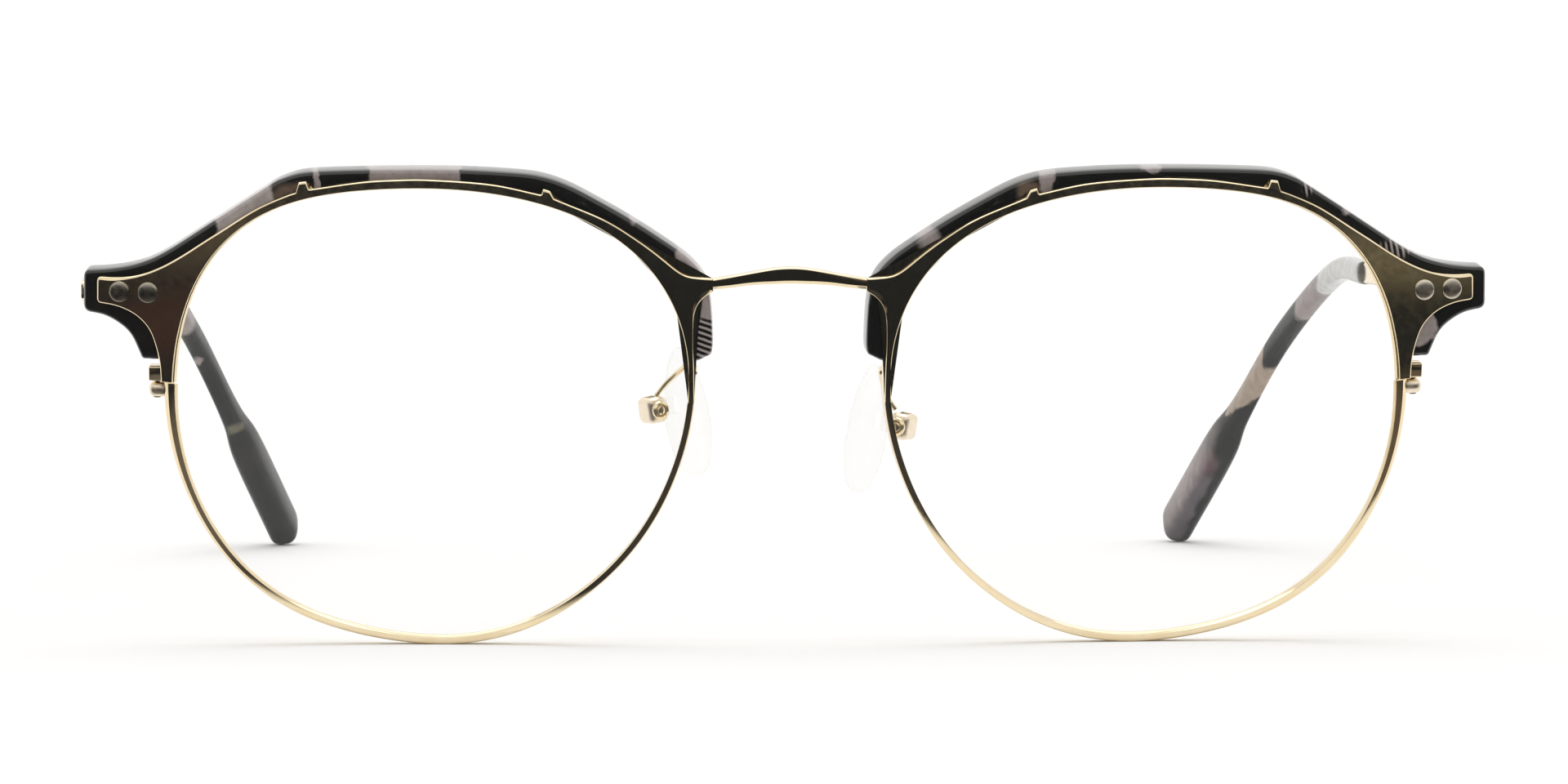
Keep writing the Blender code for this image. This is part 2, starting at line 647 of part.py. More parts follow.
def make_pad_plate(pivot, screw_hole):
    """The soft nose pad: a drop-shaped cushion, narrower at the top, with a tongue for the screw."""
    bm = bmesh.new()
    bmesh.ops.create_uvsphere(bm, u_segments=18, v_segments=12, radius=1)
    wide, deep, tall = PAD_SEMI_AXES
    for vert in bm.verts:
        x, y, z = vert.co
        vert.co = Vector((x * wide * (1 - 0.22 * z), y * deep + PAD_STANDOFF, z * tall - PAD_DROP)) * MM
    pad = add("nose_pad_left", mesh_from(bm, "nose_pad"), silicone, pivot)
    start, end = -0.35, PAD_STANDOFF
    width = PAD_BOX_SIZE[0] - 2 * PAD_BOX_WALL - 0.3
    tongue = box("pad_tongue", (width, end - start, PAD_TONGUE_HEIGHT), (0, (start + end) / 2, 0))
    boolean(pad, "UNION", helper("pad_tongue", tongue, pivot, Matrix.Identity(4)))
    boolean(pad, "DIFFERENCE", screw_hole)


def make_pad(root, pivot):
    """The nose pad, the box that holds its tongue, and the screw that it rocks on."""
    hole = cylinder("pad_screw_hole", PAD_HOLE_RADIUS, 8, 14)
    screw_hole = helper("pad_screw_hole", hole, pivot, rotation(90, "Y"))
    make_pad_box(root, pivot, screw_hole)
    make_pad_plate(pivot, screw_hole)
    end = PAD_BOX_SIZE[0] / 2
    profile = [(0, end + 0.42), (0.55, end + 0.42), (0.78, end + 0.25), (0.78, end + 0.06)]
    profile += [(PAD_SCREW_RADIUS, end + 0.06), (PAD_SCREW_RADIUS, -end - 0.15), (0, -end - 0.15)]
    turned("pad_screw_left", profile, steel, root, pivot.matrix_basis @ rotation(-90, "Y"), 14)


def mirror_side(graph):
    """The right side: a mirrored copy of every piece and empty named left."""
    copies = {}
    for obj in [o for o in parts.objects if o.name.endswith("_left")]:
        if obj.type == "EMPTY":
            data = None
        else:
            data = bpy.data.meshes.new_from_object(obj.evaluated_get(graph))
            data.transform(MIRROR)
            data.flip_normals()
        copy = bpy.data.objects.new(obj.name.replace("_left", "_right"), data)
        parts.objects.link(copy)
        copy.matrix_basis = MIRROR @ obj.matrix_basis @ MIRROR
        copies[obj] = copy
    for obj, copy in copies.items():
        copy.parent = copies.get(obj.parent, obj.parent)


def stand_at_origin(root):
    """Moves the whole object so that it stands on z = 0 with the middle of its box on the Z axis."""
    bpy.context.view_layer.update()
    graph = bpy.context.evaluated_depsgraph_get()
    corners = []
    for obj in parts.objects:
        if obj.type == "MESH":
            shaped = obj.evaluated_get(graph)
            corners += [shaped.matrix_world @ Vector(corner) for corner in shaped.bound_box]
    depths = [corner.y for corner in corners]
    root.location.y -= (min(depths) + max(depths)) / 2


def build():
    root = empty("glasses", None, Matrix.Identity(4))
    lowest = HALF_TURN @ (on_front(270, opening_radius(270) + EYEWIRE_WALL, EYEWIRE_FRONT))
    front = empty("front", root, at(0, 0, -(FRONT_TURN @ lowest).z, FRONT_TURN))
    half = empty("half_left", front, HALF_TURN)
    axis = empty("temple_axis_left", root, at(HINGE_X, HINGE_Y, HINGE_Z))
    pivot = empty("pad_pivot_left", root, at(*PAD_PIVOT, pad_turn()))

    make_eyewire(half)
    make_lens(half)
    plate = make_trim_plate(half)
    brow = make_brow(half)
    hinge = make_hinge(half, root, axis)
    make_rivets(half, plate, brow, hinge)
    make_rim_lock(half)
    make_temple(axis)
    make_tip(axis)
    make_pad(root, pivot)
    bpy.context.view_layer.update()
    mirror_side(bpy.context.evaluated_depsgraph_get())
    for name in ("pad_pivot_right", "pad_box_right", "pad_screw_right"):
        parts.objects[name].location += Vector(RIGHT_PAD_SHIFT) * MM
    make_pad_arm(root, "left", PAD_ARM_BEND)
    make_pad_arm(root, "right", RIGHT_PAD_ARM_BEND)
    make_bridge(front)
    stand_at_origin(root)


for old in list(bpy.data.objects):
    bpy.data.objects.remove(old)
parts = bpy.data.collections.new(OBJECT_NAME)
cutters = bpy.data.collections.new("cutters")
bpy.context.scene.collection.children.link(parts)
bpy.context.scene.collection.children.link(cutters)
cutters.hide_render = True
gold = material("gold_metal", (0.83, 0.66, 0.38), 0.22, 1.0)
steel = material("rivet_metal", (0.62, 0.58, 0.50), 0.35, 1.0)
acetate = material("tortoise_acetate", (0.05, 0.045, 0.045), 0.18, 0.0)
clear_lens = material("clear_lens", (0.97, 0.98, 0.98), 0.02, 0.0, 0.12)
silicone = material("clear_silicone", (0.93, 0.93, 0.92), 0.25, 0.0, 0.4)
build()
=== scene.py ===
"""Looks of the browline eyeglasses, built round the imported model.

The wearer looks along -Y and the wearer's left is +X. The pieces are drawn in millimetres with the same
driving dimensions as the model, then placed in metres: front pieces in the flat drawing of one half,
which is domed, turned back and tilted, and the others in the upright frame of the whole object.
"""
import json
import math

import bmesh
import bpy
from mathutils import Matrix, Vector


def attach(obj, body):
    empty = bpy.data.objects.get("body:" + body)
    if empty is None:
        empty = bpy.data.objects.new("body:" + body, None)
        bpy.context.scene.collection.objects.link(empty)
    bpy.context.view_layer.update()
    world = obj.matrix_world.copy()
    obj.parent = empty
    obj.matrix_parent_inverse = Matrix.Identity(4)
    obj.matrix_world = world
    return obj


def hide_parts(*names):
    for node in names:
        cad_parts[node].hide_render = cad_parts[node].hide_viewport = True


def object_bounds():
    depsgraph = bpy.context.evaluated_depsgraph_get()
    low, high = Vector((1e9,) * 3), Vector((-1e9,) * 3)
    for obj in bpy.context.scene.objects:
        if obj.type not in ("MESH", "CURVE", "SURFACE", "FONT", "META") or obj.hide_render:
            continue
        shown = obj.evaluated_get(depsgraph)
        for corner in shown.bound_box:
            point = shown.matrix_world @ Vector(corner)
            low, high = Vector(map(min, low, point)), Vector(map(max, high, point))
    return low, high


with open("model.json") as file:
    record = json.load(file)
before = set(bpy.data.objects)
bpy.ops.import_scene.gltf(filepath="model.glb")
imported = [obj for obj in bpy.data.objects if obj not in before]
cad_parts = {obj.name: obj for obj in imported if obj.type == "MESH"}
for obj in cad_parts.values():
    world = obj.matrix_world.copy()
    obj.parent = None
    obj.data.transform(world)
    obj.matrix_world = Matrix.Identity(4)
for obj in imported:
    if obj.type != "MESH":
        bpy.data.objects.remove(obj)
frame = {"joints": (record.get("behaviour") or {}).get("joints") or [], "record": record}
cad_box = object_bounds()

MM = 0.001

# Driving dimensions, in millimetres and degrees, as in the model.
LENS_X = 35.6
LENS_Z = 23.7
OPENING_RADII = (
    25.5, 25.85, 26.3, 25.8, 24.15, 22.7, 22.05, 22.45, 23.5, 24.95, 26.0, 26.0,
    25.3, 24.5, 24.0, 23.65, 23.45, 23.3, 23.05, 23.15, 23.85, 24.5, 24.95, 25.1,
)
WAVES = 8
DOME_RADIUS = 200.0
WRAP_ANGLE = 4.0
TILT_ANGLE = 7.0

PLATE_THICKNESS = 0.55
EYEWIRE_FRONT = PLATE_THICKNESS + 0.05
EYEWIRE_DEPTH = 2.2
EYEWIRE_WALL = 0.65
EYEWIRE_STEPS = 200
GROOVE_DEPTH = 0.35
LENS_THICKNESS = 1.1
BROW_FRONT = PLATE_THICKNESS + 0.12
BROW_BACK = BROW_FRONT + 3.2
BROW_ROUNDING = 0.42
BROW_PLAY = 0.03
OUTLINE_SPACING = 0.2
LOOP_STEP = 2.0
LONGEST_EDGE = 1.1

SPLIT_Z = 26.05
LOCK_X = (61.95, 63.5)
LOCK_Z = (24.5, 27.6)
HALF_LOCK_GAP = 0.1
LOCK_Y = (EYEWIRE_FRONT + 0.1, EYEWIRE_FRONT + 2.0)
RIVET_X = (66.35, 63.5)
RIVET_Z = 35.05
RIVET_HEAD_RADIUS = 1.02
RIVET_HEAD_HEIGHT = 0.24
RIVET_SHANK_RADIUS = 0.55
RIVET_TAIL_RADIUS = 0.8
RIVET_TAIL_HEIGHT = 0.22

HINGE = (67.2, 10.2, 35.1)
KNUCKLE_RADIUS = 1.25
HINGE_HEIGHT = 3.6
MIDDLE_KNUCKLE = 1.34
HINGE_CLEARANCE = 0.08
HINGE_LEAF_X = 65.0
HINGE_LEAF_SIZE = (5.4, 3.4, 0.6)

TEMPLE_FRONT = (69.3, 8.0, 35.0)
TEMPLE_FERRULE = (66.2, 80.0, 33.2)
TEMPLE_THICKNESS = 1.2
TEMPLE_HEIGHTS = (3.4, 2.2)
TEMPLE_NOSE_LENGTH = 3.2
TIP_PATH = (
    (66.2, 80.0, 33.2), (64.5, 95.0, 32.55), (60.65, 113.0, 24.9), (56.75, 122.4, 16.0),
    (54.9, 126.8, 11.6), (51.0, 137.2, 2.26),
)
TIP_THICKNESSES = (2.1, 2.1, 2.05, 2.2, 3.3, 3.4)
TIP_HEIGHTS = (2.5, 2.6, 2.8, 3.3, 4.9, 5.0)
TIP_END_LENGTH = 1.8

PAD_PIVOT = (11.75, 8.4, 21.3)
PAD_NORMAL = (-0.84, 0.52, 0.15)
PAD_SEMI_AXES = (3.5, 1.15, 6.6)
PAD_STANDOFF = 4.0
PAD_DROP = 1.0
PAD_ARM_RADIUS = 0.35
PAD_ARM_BEND = (
    (9.3, 2.0, 27.0), (9.25, 3.8, 27.3), (9.35, 5.6, 26.8), (9.7, 7.2, 25.5), (10.2, 8.0, 24.1),
    (10.95, 8.3, 22.99),
)
# The right pad is set higher and further out than a mirror image of the left one.
RIGHT_PAD_SHIFT = (-1.45, 0.0, 1.7)
RIGHT_PAD_ARM_BEND = (
    (-9.3, 2.0, 27.0), (-9.2, 3.8, 27.6), (-9.7, 5.6, 27.7), (-10.7, 7.2, 26.8), (-11.9, 8.1, 25.6),
    (-12.9, 8.35, 24.35),
)
PAD_BOX_SIZE = (2.6, 2.2, 2.6)
PAD_BOX_WALL = 0.62

# Outlines of one half of the front, drawn flat: x outwards from the nose, and z up.
# Each run ends at a corner.
BROW_RUNS = (
    ((62.2, 28.3), (64.15, 28.3)),
    ((64.15, 28.3), (64.5, 29.1), (65.5, 31.0), (67.6, 32.4), (69.3, 32.75), (70.0, 32.85)),
    ((70.0, 32.85), (70.0, 37.0)),
    (
        (70.0, 37.0), (69.2, 37.0), (67.2, 37.2), (65.1, 37.6), (63.1, 38.3), (61.0, 39.5), (58.9, 40.9),
        (54.7, 43.7), (50.7, 46.3),
    ),
    (
        (50.7, 46.3), (48.4, 47.1), (44.6, 47.4), (38.4, 47.6), (32.4, 47.6), (26.8, 47.3), (24.3, 46.9),
        (22.3, 46.2), (20.3, 45.2), (16.2, 42.9), (12.2, 40.3), (10.2, 38.8), (8.7, 37.0), (8.05, 34.6),
        (7.8, 30.2), (7.95, 29.3),
    ),
    ((7.95, 29.3), (9.2, 28.7)),
)
BROW_CORNERS = (0.45, 0.8, 0.8, 5.0, 0.45)
PLATE_RUNS = (
    (
        (62.25, 26.25), (62.3, 27.2), (62.4, 28.3), (62.75, 29.7), (63.4, 31.4), (64.8, 32.8), (66.7, 33.6),
        (68.6, 33.87),
    ),
    ((68.6, 33.87), (68.6, 36.45)),
    (
        (68.6, 36.45), (66.7, 36.4), (64.5, 36.7), (62.2, 37.6), (60.1, 38.8), (58.0, 40.2), (56.3, 41.3),
        (52.7, 43.6), (49.6, 45.0), (48.85, 45.25),
    ),
    ((48.85, 45.25), (48.55, 46.25)),
    ((48.55, 46.25), (47.8, 46.35)),
    ((47.8, 46.35), (47.5, 45.6)),
    ((47.5, 45.6), (42.4, 46.4), (38.9, 46.65), (35.6, 46.7), (29.6, 46.3), (24.7, 45.3)),
    ((24.7, 45.3), (24.5, 45.85)),
    ((24.5, 45.85), (23.8, 45.63)),
    ((23.8, 45.63), (23.4, 44.9)),
    (
        (23.4, 44.9), (18.4, 42.8), (15.2, 40.8), (13.3, 39.4), (10.7, 37.35), (9.0, 37.05), (7.75, 36.95),
    ),
    ((7.75, 36.95), (7.75, 35.65)),
    (
        (7.75, 35.65), (8.75, 35.05), (9.4, 34.2), (9.65, 33.1), (9.7, 30.4), (9.6, 27.8), (9.55, 24.6),
    ),
)
PLATE_CORNERS = (0.45, 0.45, 0.1, 0.12, 0.12, 0.1, 0.1, 0.12, 0.12, 0.1, 0.12, 0.12)
# Half of the bridge: x, lower z, upper z, and the y of its front.
BRIDGE_STATIONS = (
    (0.0, 36.45, 38.2, 1.9), (1.6, 36.4, 38.1, 1.95), (3.7, 36.25, 37.7, 2.2), (6.0, 35.9, 37.2, 2.6),
    (7.45, 35.7, 36.9, 2.95),
)
BRIDGE_DEPTH = 1.4


def rotation(degrees, axis):
    return Matrix.Rotation(math.radians(degrees), 4, axis)


def moved(x, y, z):
    return Matrix.Translation(Vector((x, y, z)))


MIRROR = Matrix.Scale(-1, 4, (1, 0, 0))
BODY_OF = {
    node: body for body, nodes in frame["record"]["behaviour"]["bodies"].items() for node in nodes
}


# Curves

def ring_waves():
    """The waves of the closed curve through OPENING_RADII, as (cosine, sine) heights."""
    count = len(OPENING_RADII)
    waves = []
    for k in range(WAVES + 1):
        turns = [2 * math.pi * k * n / count for n in range(count)]
        share = (1 if k == 0 else 2) / count
        waves.append((
            share * sum(r * math.cos(t) for r, t in zip(OPENING_RADII, turns)),
            share * sum(r * math.sin(t) for r, t in zip(OPENING_RADII, turns)),
        ))
    return waves


RING = ring_waves()


def opening_radius(degrees):
    turn = math.radians(degrees)
    return sum(a * math.cos(k * turn) + b * math.sin(k * turn) for k, (a, b) in enumerate(RING))


def sag(x, z):
    return ((x - LENS_X) ** 2 + (z - LENS_Z) ** 2) / (2 * DOME_RADIUS)


def in_drawing(degrees, radius, y):
    turn = math.radians(degrees)
    return Vector((LENS_X + radius * math.cos(turn), y, LENS_Z + radius * math.sin(turn)))


def domed(point):
    return Vector((point.x, point.y + sag(point.x, point.z), point.z))


def on_front(degrees, radius, y):
    return domed(in_drawing(degrees, radius, y))


def direction_of(point):
    return math.degrees(math.atan2(point[1] - LENS_Z, point[0] - LENS_X))


def catmull_rom(before, start, end, after, t):
    curved = 2 * start + (end - before) * t
    curved += (2 * before - 5 * start + 4 * end - after) * t ** 2
    return (curved + (3 * start - before - 3 * end + after) * t ** 3) / 2


def smooth(points, steps):
    """Points on a smooth curve through the given points, which it keeps."""
    points = [Vector(p) for p in points]
    padded = [2 * points[0] - points[1], *points, 2 * points[-1] - points[-2]]
    curve = []
    for before, start, end, after in zip(padded, padded[1:], padded[2:], padded[3:]):
        curve += [catmull_rom(before, start, end, after, k / steps) for k in range(steps)]
    return [*curve, points[-1]]


def even(points, spacing):
    """The same line with its points about the given distance apart."""
    lengths = [0.0]
    for a, b in zip(points, points[1:]):
        lengths.append(lengths[-1] + (b - a).length)
    count = max(1, round(lengths[-1] / spacing))
    spaced, k = [], 0
    for n in range(count + 1):
        wanted = lengths[-1] * n / count
        while k < len(points) - 2 and lengths[k + 1] < wanted:
            k += 1
        share = (wanted - lengths[k]) / max(lengths[k + 1] - lengths[k], 1e-9)
        spaced.append(points[k].lerp(points[k + 1], min(max(share, 0), 1)))
    return spaced


def eased(points, passes):
    """The line with small wobbles evened out. Its ends stay where they are."""
    for _ in range(passes):
        middle = [(a + 2 * b + c) / 4 for a, b, c in zip(points, points[1:], points[2:])]
        points = [points[0], *middle, points[-1]]
    return points


def drawn(runs, corners):
    """One line along all runs, each corner between two runs rounded to its radius."""
    lines = [even(smooth(run, 12), OUTLINE_SPACING) for run in runs]
    lines = [eased(line, 12) if len(run) > 2 else line for line, run in zip(lines, runs)]
    outline = lines[0]
    for line, radius in zip(lines[1:], corners):
        corner = outline[-1]
        before = (corner - outline[max(-4, -len(outline))]).normalized()
        after = (line[min(3, len(line) - 1)] - corner).normalized()
        turn = before.angle(after, 0)
        cut = radius * math.tan(min(turn, 2.6) / 2)
        while len(outline) > 2 and (outline[-1] - corner).length < cut:
            outline = outline[:-1]
        rest = line[1:]
        while len(rest) > 2 and (rest[0] - corner).length < cut:
            rest = rest[1:]
        start, end = corner - before * cut, corner + after * cut
        arc = [start.lerp(corner, t).lerp(corner.lerp(end, t), t) for t in (k / 6 for k in range(7))]
        outline = outline + arc + rest
    kept = [outline[0]]
    for point in outline[1:]:
        if (point - kept[-1]).length > 0.03:
            kept.append(point)
    return kept


def inset(outline, distances):
    """The outline moved towards the lens, which is on its left, by a distance for each point.

    Points that would cross over in a tight corner are gathered where its two sides meet.
    """
    last = len(outline) - 1
    edge = []
    for k, (point, distance) in enumerate(zip(outline, distances)):
        along = (outline[min(k + 1, last)] - outline[max(k - 1, 0)]).normalized()
        edge.append(point + Vector((-along.y, along.x)) * distance)
    clear = []
    for k, (point, distance) in enumerate(zip(edge, distances)):
        nearest = min((point - other).length for other in outline[max(k - 30, 0):k + 31])
        if nearest > distance * 0.97 - 0.001:
            clear.append(k)
    for before, after in zip(clear, clear[1:]):
        for k in range(before + 1, after):
            edge[k] = edge[before].lerp(edge[after], (k - before) / (after - before))
    return edge


# Meshes, in millimetres

def skinned(bm, rings):
    count = len(rings[0])
    for ring, following in zip(rings, rings[1:]):
        for k in range(count):
            bm.faces.new((ring[k], ring[(k + 1) % count], following[(k + 1) % count], following[k]))


def loft(sections):
    """A skin over sections of equal point counts, closed at both ends."""
    bm = bmesh.new()
    rings = [[bm.verts.new(p) for p in section] for section in sections]
    skinned(bm, rings)
    bm.faces.new(rings[0])
    bm.faces.new(rings[-1])
    return bm


def on_cap(face):
    """Whether a face of the flat drawing lies in one of its filled ends."""
    return all(abs(vert.co.y - face.verts[0].co.y) < 1e-6 for vert in face.verts)


def stack(loops):
    """A domed skin over closed loops of the flat drawing, one behind the other, with its ends filled."""
    bm = bmesh.new()
    rings = [[bm.verts.new(point) for point in points] for points in loops]
    skinned(bm, rings)
    ends = [bm.faces.new(rings[0]), bm.faces.new(rings[-1])]
    filled = bmesh.ops.triangulate(bm, faces=ends, ngon_method="BEAUTY")
    edges = filled["edges"]
    for _ in range(5):
        inner = [e for e in edges if e.is_valid and e.calc_length() > LONGEST_EDGE]
        if not inner:
            break
        bmesh.ops.subdivide_edges(bm, edges=inner, cuts=1)
        split = [f for f in bm.faces if on_cap(f) and len(f.verts) > 3]
        bmesh.ops.triangulate(bm, faces=split, quad_method="BEAUTY")
        edges = [e for e in bm.edges if len(e.link_faces) == 2 and all(on_cap(f) for f in e.link_faces)]
    for vert in bm.verts:
        vert.co = domed(vert.co)
    return bm


def front_loop(outline, margins, beyond, outer_y, inner_y):
    """One closed loop of a front piece.

    It is the outline moved in by its margins, and then the way back along the lens opening.
    """
    edge = inset(outline, margins)
    start, end = direction_of(edge[0]), direction_of(edge[-1])
    count = round((direction_of(outline[-1]) - direction_of(outline[0])) / LOOP_STEP)
    directions = [end + (start - end) * k / count for k in range(count + 1)]
    loop = [Vector((x, outer_y, z)) for x, z in edge]
    return loop + [in_drawing(k, opening_radius(k) + beyond, inner_y) for k in directions]


def rounded_corners(points, radii, steps=4):
    """A closed section with each corner rounded to its radius."""
    points = [Vector(p) for p in points]
    section = []
    neighbours = zip(points[-1:] + points[:-1], points[1:] + points[:1])
    for corner, (before, after), radius in zip(points, neighbours, radii):
        back, on = (before - corner), (after - corner)
        half = back.angle(on) / 2
        cut = min(radius / math.tan(half), back.length * 0.48, on.length * 0.48)
        start, end = corner + back.normalized() * cut, corner + on.normalized() * cut
        for k in range(steps + 1):
            t = k / steps
            section.append(start.lerp(corner, t).lerp(corner.lerp(end, t), t))
    return section


def block(size, centre=(0, 0, 0), edge=0.15, segments=3):
    """A box with rounded edges."""
    bm = bmesh.new()
    bmesh.ops.create_cube(bm, size=1)
    bmesh.ops.scale(bm, vec=Vector(size), verts=bm.verts)
    bmesh.ops.bevel(bm, geom=bm.edges[:], offset=edge, segments=segments, profile=0.5, affect="EDGES")
    bmesh.ops.translate(bm, vec=Vector(centre), verts=bm.verts)
    return bm


def turned(profile, steps=48):
    """A turned shape about Z. The profile runs from the axis at the top to the axis at the bottom."""
    bm = bmesh.new()
    rings = []
    for r, h in profile:
        if r == 0:
            rings.append([bm.verts.new((0, 0, h))])
        else:
            turns = [2 * math.pi * k / steps for k in range(steps)]
            rings.append([bm.verts.new((r * math.cos(t), r * math.sin(t), h)) for t in turns])
    for ring, following in zip(rings, rings[1:]):
        for k in range(steps):
            face = [ring[k % len(ring)], ring[(k + 1) % len(ring)]]
            face += [following[(k + 1) % len(following)], following[k % len(following)]]
            bm.faces.new(list(dict.fromkeys(face)))
    return bm


def rounded_cylinder(radius, height, edge=0.1):
    top = height / 2
    arc = [(math.sin(math.radians(a)), math.cos(math.radians(a))) for a in (0, 30, 60, 90)]
    profile = [(0, top)]
    profile += [(radius - edge + edge * s, top - edge + edge * c) for s, c in arc]
    profile += [(radius - edge + edge * c, -top + edge - edge * s) for s, c in arc]
    return turned([*profile, (0, -top)])


def to_mesh(bm, place=None):
    bmesh.ops.recalc_face_normals(bm, faces=bm.faces)
    mesh = bpy.data.meshes.new("drawn")
    bm.to_mesh(mesh)
    bm.free()
    if place is not None:
        mesh.transform(place)
    return mesh


def combined(first, *others):
    """The first mesh joined with or cut by the others, given as (operation, mesh) pairs.

    All the given meshes are used up.
    """
    base = bpy.data.objects.new("base", first)
    bpy.context.scene.collection.objects.link(base)
    tools = []
    for operation, mesh in others:
        tool = bpy.data.objects.new("tool", mesh)
        bpy.context.scene.collection.objects.link(tool)
        modifier = base.modifiers.new("boolean", "BOOLEAN")
        modifier.operation = operation
        modifier.solver = "EXACT"
        modifier.object = tool
        tools.append(tool)
    bpy.context.view_layer.update()
    graph = bpy.context.evaluated_depsgraph_get()
    made = bpy.data.meshes.new_from_object(base.evaluated_get(graph))
    for obj in (base, *tools):
        data = obj.data
        bpy.data.objects.remove(obj)
        bpy.data.meshes.remove(data)
    return made


# Places, in metres

def joint_place(name):
    return next(j for j in frame["joints"] if j["name"] == name)["pos_m"]


SHIFT_Y = joint_place("temple_left_hinge")[1] / MM - HINGE[1]
FRONT_TURN = rotation(TILT_ANGLE, "X")
HALF_TURN = rotation(WRAP_ANGLE, "Z")
UPRIGHT = Matrix.Scale(MM, 4) @ moved(0, SHIFT_Y, 0)
LOWEST = HALF_TURN @ on_front(270, opening_radius(270) + EYEWIRE_WALL, EYEWIRE_FRONT)
FRONT = UPRIGHT @ moved(0, 0, -(FRONT_TURN @ LOWEST).z) @ FRONT_TURN
HALF = FRONT @ HALF_TURN


def surface_place(x, z):
    """A place on the domed front, with local Z pointing out of it, towards the viewer."""
    outwards = Vector(((x - LENS_X) / DOME_RADIUS, -1, (z - LENS_Z) / DOME_RADIUS)).normalized()
    turn = outwards.to_track_quat("Z", "Y").to_matrix().to_4x4()
    return moved(x, sag(x, z), z) @ turn


def pad_turn():
    """Local X along the pad's screw, Y towards the nose and Z up the pad."""
    towards_nose = Vector(PAD_NORMAL).normalized()
    screw = Vector((towards_nose.y, -towards_nose.x, 0)).normalized()
    return Matrix((screw, towards_nose, screw.cross(towards_nose))).transposed().to_4x4()


HINGE_PLACE = UPRIGHT @ moved(*HINGE)
PAD_PLACE = UPRIGHT @ moved(*PAD_PIVOT) @ pad_turn()


def show(name, mesh, node, finish, sharp=40):
    obj = bpy.data.objects.new(name, mesh)
    bpy.context.scene.collection.objects.link(obj)
    mesh.materials.clear()
    mesh.materials.append(finish)
    mesh.shade_smooth()
    mesh.set_sharp_from_angle(angle=math.radians(sharp))
    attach(obj, BODY_OF[node])
    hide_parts(node)


def pair(node, bm, place, finish, sharp=40, right_shift=(0, 0, 0)):
    """The piece for a node on the wearer's left, and its mirror image for the one on the right."""
    mesh = bm if isinstance(bm, bpy.types.Mesh) else to_mesh(bm)
    mesh.transform(place)
    other = mesh.copy()
    other.transform(moved(*(Vector(right_shift) * MM)) @ MIRROR)
    other.flip_normals()
    for side, data in (("left", mesh), ("right", other)):
        chosen = finish[side] if isinstance(finish, dict) else finish
        show(f"{node}_{side}_look", data, f"{node}_{side}", chosen, sharp)


# Materials

class Tree:
    """A short way to build a material's nodes."""

    def __init__(self, name):
        self.material = bpy.data.materials.new(name)
        self.material.use_nodes = True
        self.nodes = self.material.node_tree.nodes
        self.links = self.material.node_tree.links
        self.shader = self.nodes["Principled BSDF"]
        here = self.add("ShaderNodeTexCoord").outputs["Object"]
        self.here = self.vector("SCALE", here, scale=1 / MM)

    def add(self, kind, **settings):
        node = self.nodes.new(kind)
        for key, value in settings.items():
            setattr(node, key, value)
        return node

    def put(self, socket, value):
        if isinstance(value, bpy.types.NodeSocket):
            self.links.new(value, socket)
        elif isinstance(value, tuple) and len(value) == 3 and socket.type == "RGBA":
            socket.default_value = (*value, 1)
        else:
            socket.default_value = value

    def vector(self, operation, first, second=None, scale=None):
        node = self.add("ShaderNodeVectorMath", operation=operation)
        self.put(node.inputs[0], first)
        if second is not None:
            self.put(node.inputs[1], second)
        if scale is not None:
            self.put(node.inputs["Scale"], scale)
        return node.outputs["Value" if operation == "LENGTH" else "Vector"]

    def maths(self, operation, first, second):
        node = self.add("ShaderNodeMath", operation=operation)
        self.put(node.inputs[0], first)
        self.put(node.inputs[1], second)
        return node.outputs[0]

    def noise(self, scale, detail, output="Fac", roughness=0.5):
        node = self.add("ShaderNodeTexNoise")
        self.put(node.inputs["Vector"], self.here)
        node.inputs["Scale"].default_value = scale
        node.inputs["Detail"].default_value = detail
        node.inputs["Roughness"].default_value = roughness
        return node.outputs[output]

    def ranged(self, value, low, high, to_low=0.0, to_high=1.0):
        node = self.add("ShaderNodeMapRange", interpolation_type="SMOOTHSTEP")
        self.put(node.inputs["Value"], value)
        limits = {"From Min": low, "From Max": high, "To Min": to_low, "To Max": to_high}
        for key, number in limits.items():
            node.inputs[key].default_value = number
        return node.outputs["Result"]

    def mix(self, share, first, second):
        node = self.add("ShaderNodeMix", data_type="RGBA")
        self.put(node.inputs["Factor"], share)
        self.put(node.inputs[6], first)
        self.put(node.inputs[7], second)
        return node.outputs[2]

    def bump(self, height, strength, distance):
        node = self.add("ShaderNodeBump")
        node.inputs["Strength"].default_value = strength
        node.inputs["Distance"].default_value = distance
        self.put(node.inputs["Height"], height)
        self.put(self.shader.inputs["Normal"], node.outputs[0])

    def give(self, **inputs):
        for key, value in inputs.items():
            self.put(self.shader.inputs[key.replace("_", " ")], value)


def metal(name, pale, deep, roughness, brushed=0.0):
    """Plated metal: slow changes of colour, and polish that varies along the surface."""
    tree = Tree(name)
    cloudy = tree.noise(0.35, 3.0)
    tree.give(
        Base_Color=tree.mix(tree.ranged(cloudy, 0.35, 0.65), deep, pale),
        Metallic=1.0,
        Roughness=tree.ranged(tree.noise(1.3, 4.0), 0.3, 0.7, roughness * 0.75, roughness * 1.3),
    )
    tree.bump(tree.noise(9.0, 3.0), 0.05 + brushed, 0.02 * MM)
    return tree.material


def patch(tree, where, centre, size, lean=0.0, soft=0.1):
    """1 inside an ellipsoid of the given half sizes, and 0 outside it. It leans about Y, by degrees."""
    node = tree.add("ShaderNodeMapping", vector_type="TEXTURE")
    tree.put(node.inputs["Vector"], where)
    node.inputs["Location"].default_value = centre
    node.inputs["Rotation"].default_value = (0, math.radians(lean), 0)
    node.inputs["Scale"].default_value = size
    return tree.ranged(tree.vector("LENGTH", node.outputs[0]), 1 - soft, 1 + soft, 1.0, 0.0)


def patches(tree, where, places):
    total = 0.0
    for place in places:
        here = patch(tree, where, *place)
        total = here if total == 0.0 else tree.maths("MAXIMUM", total, here)
    return total


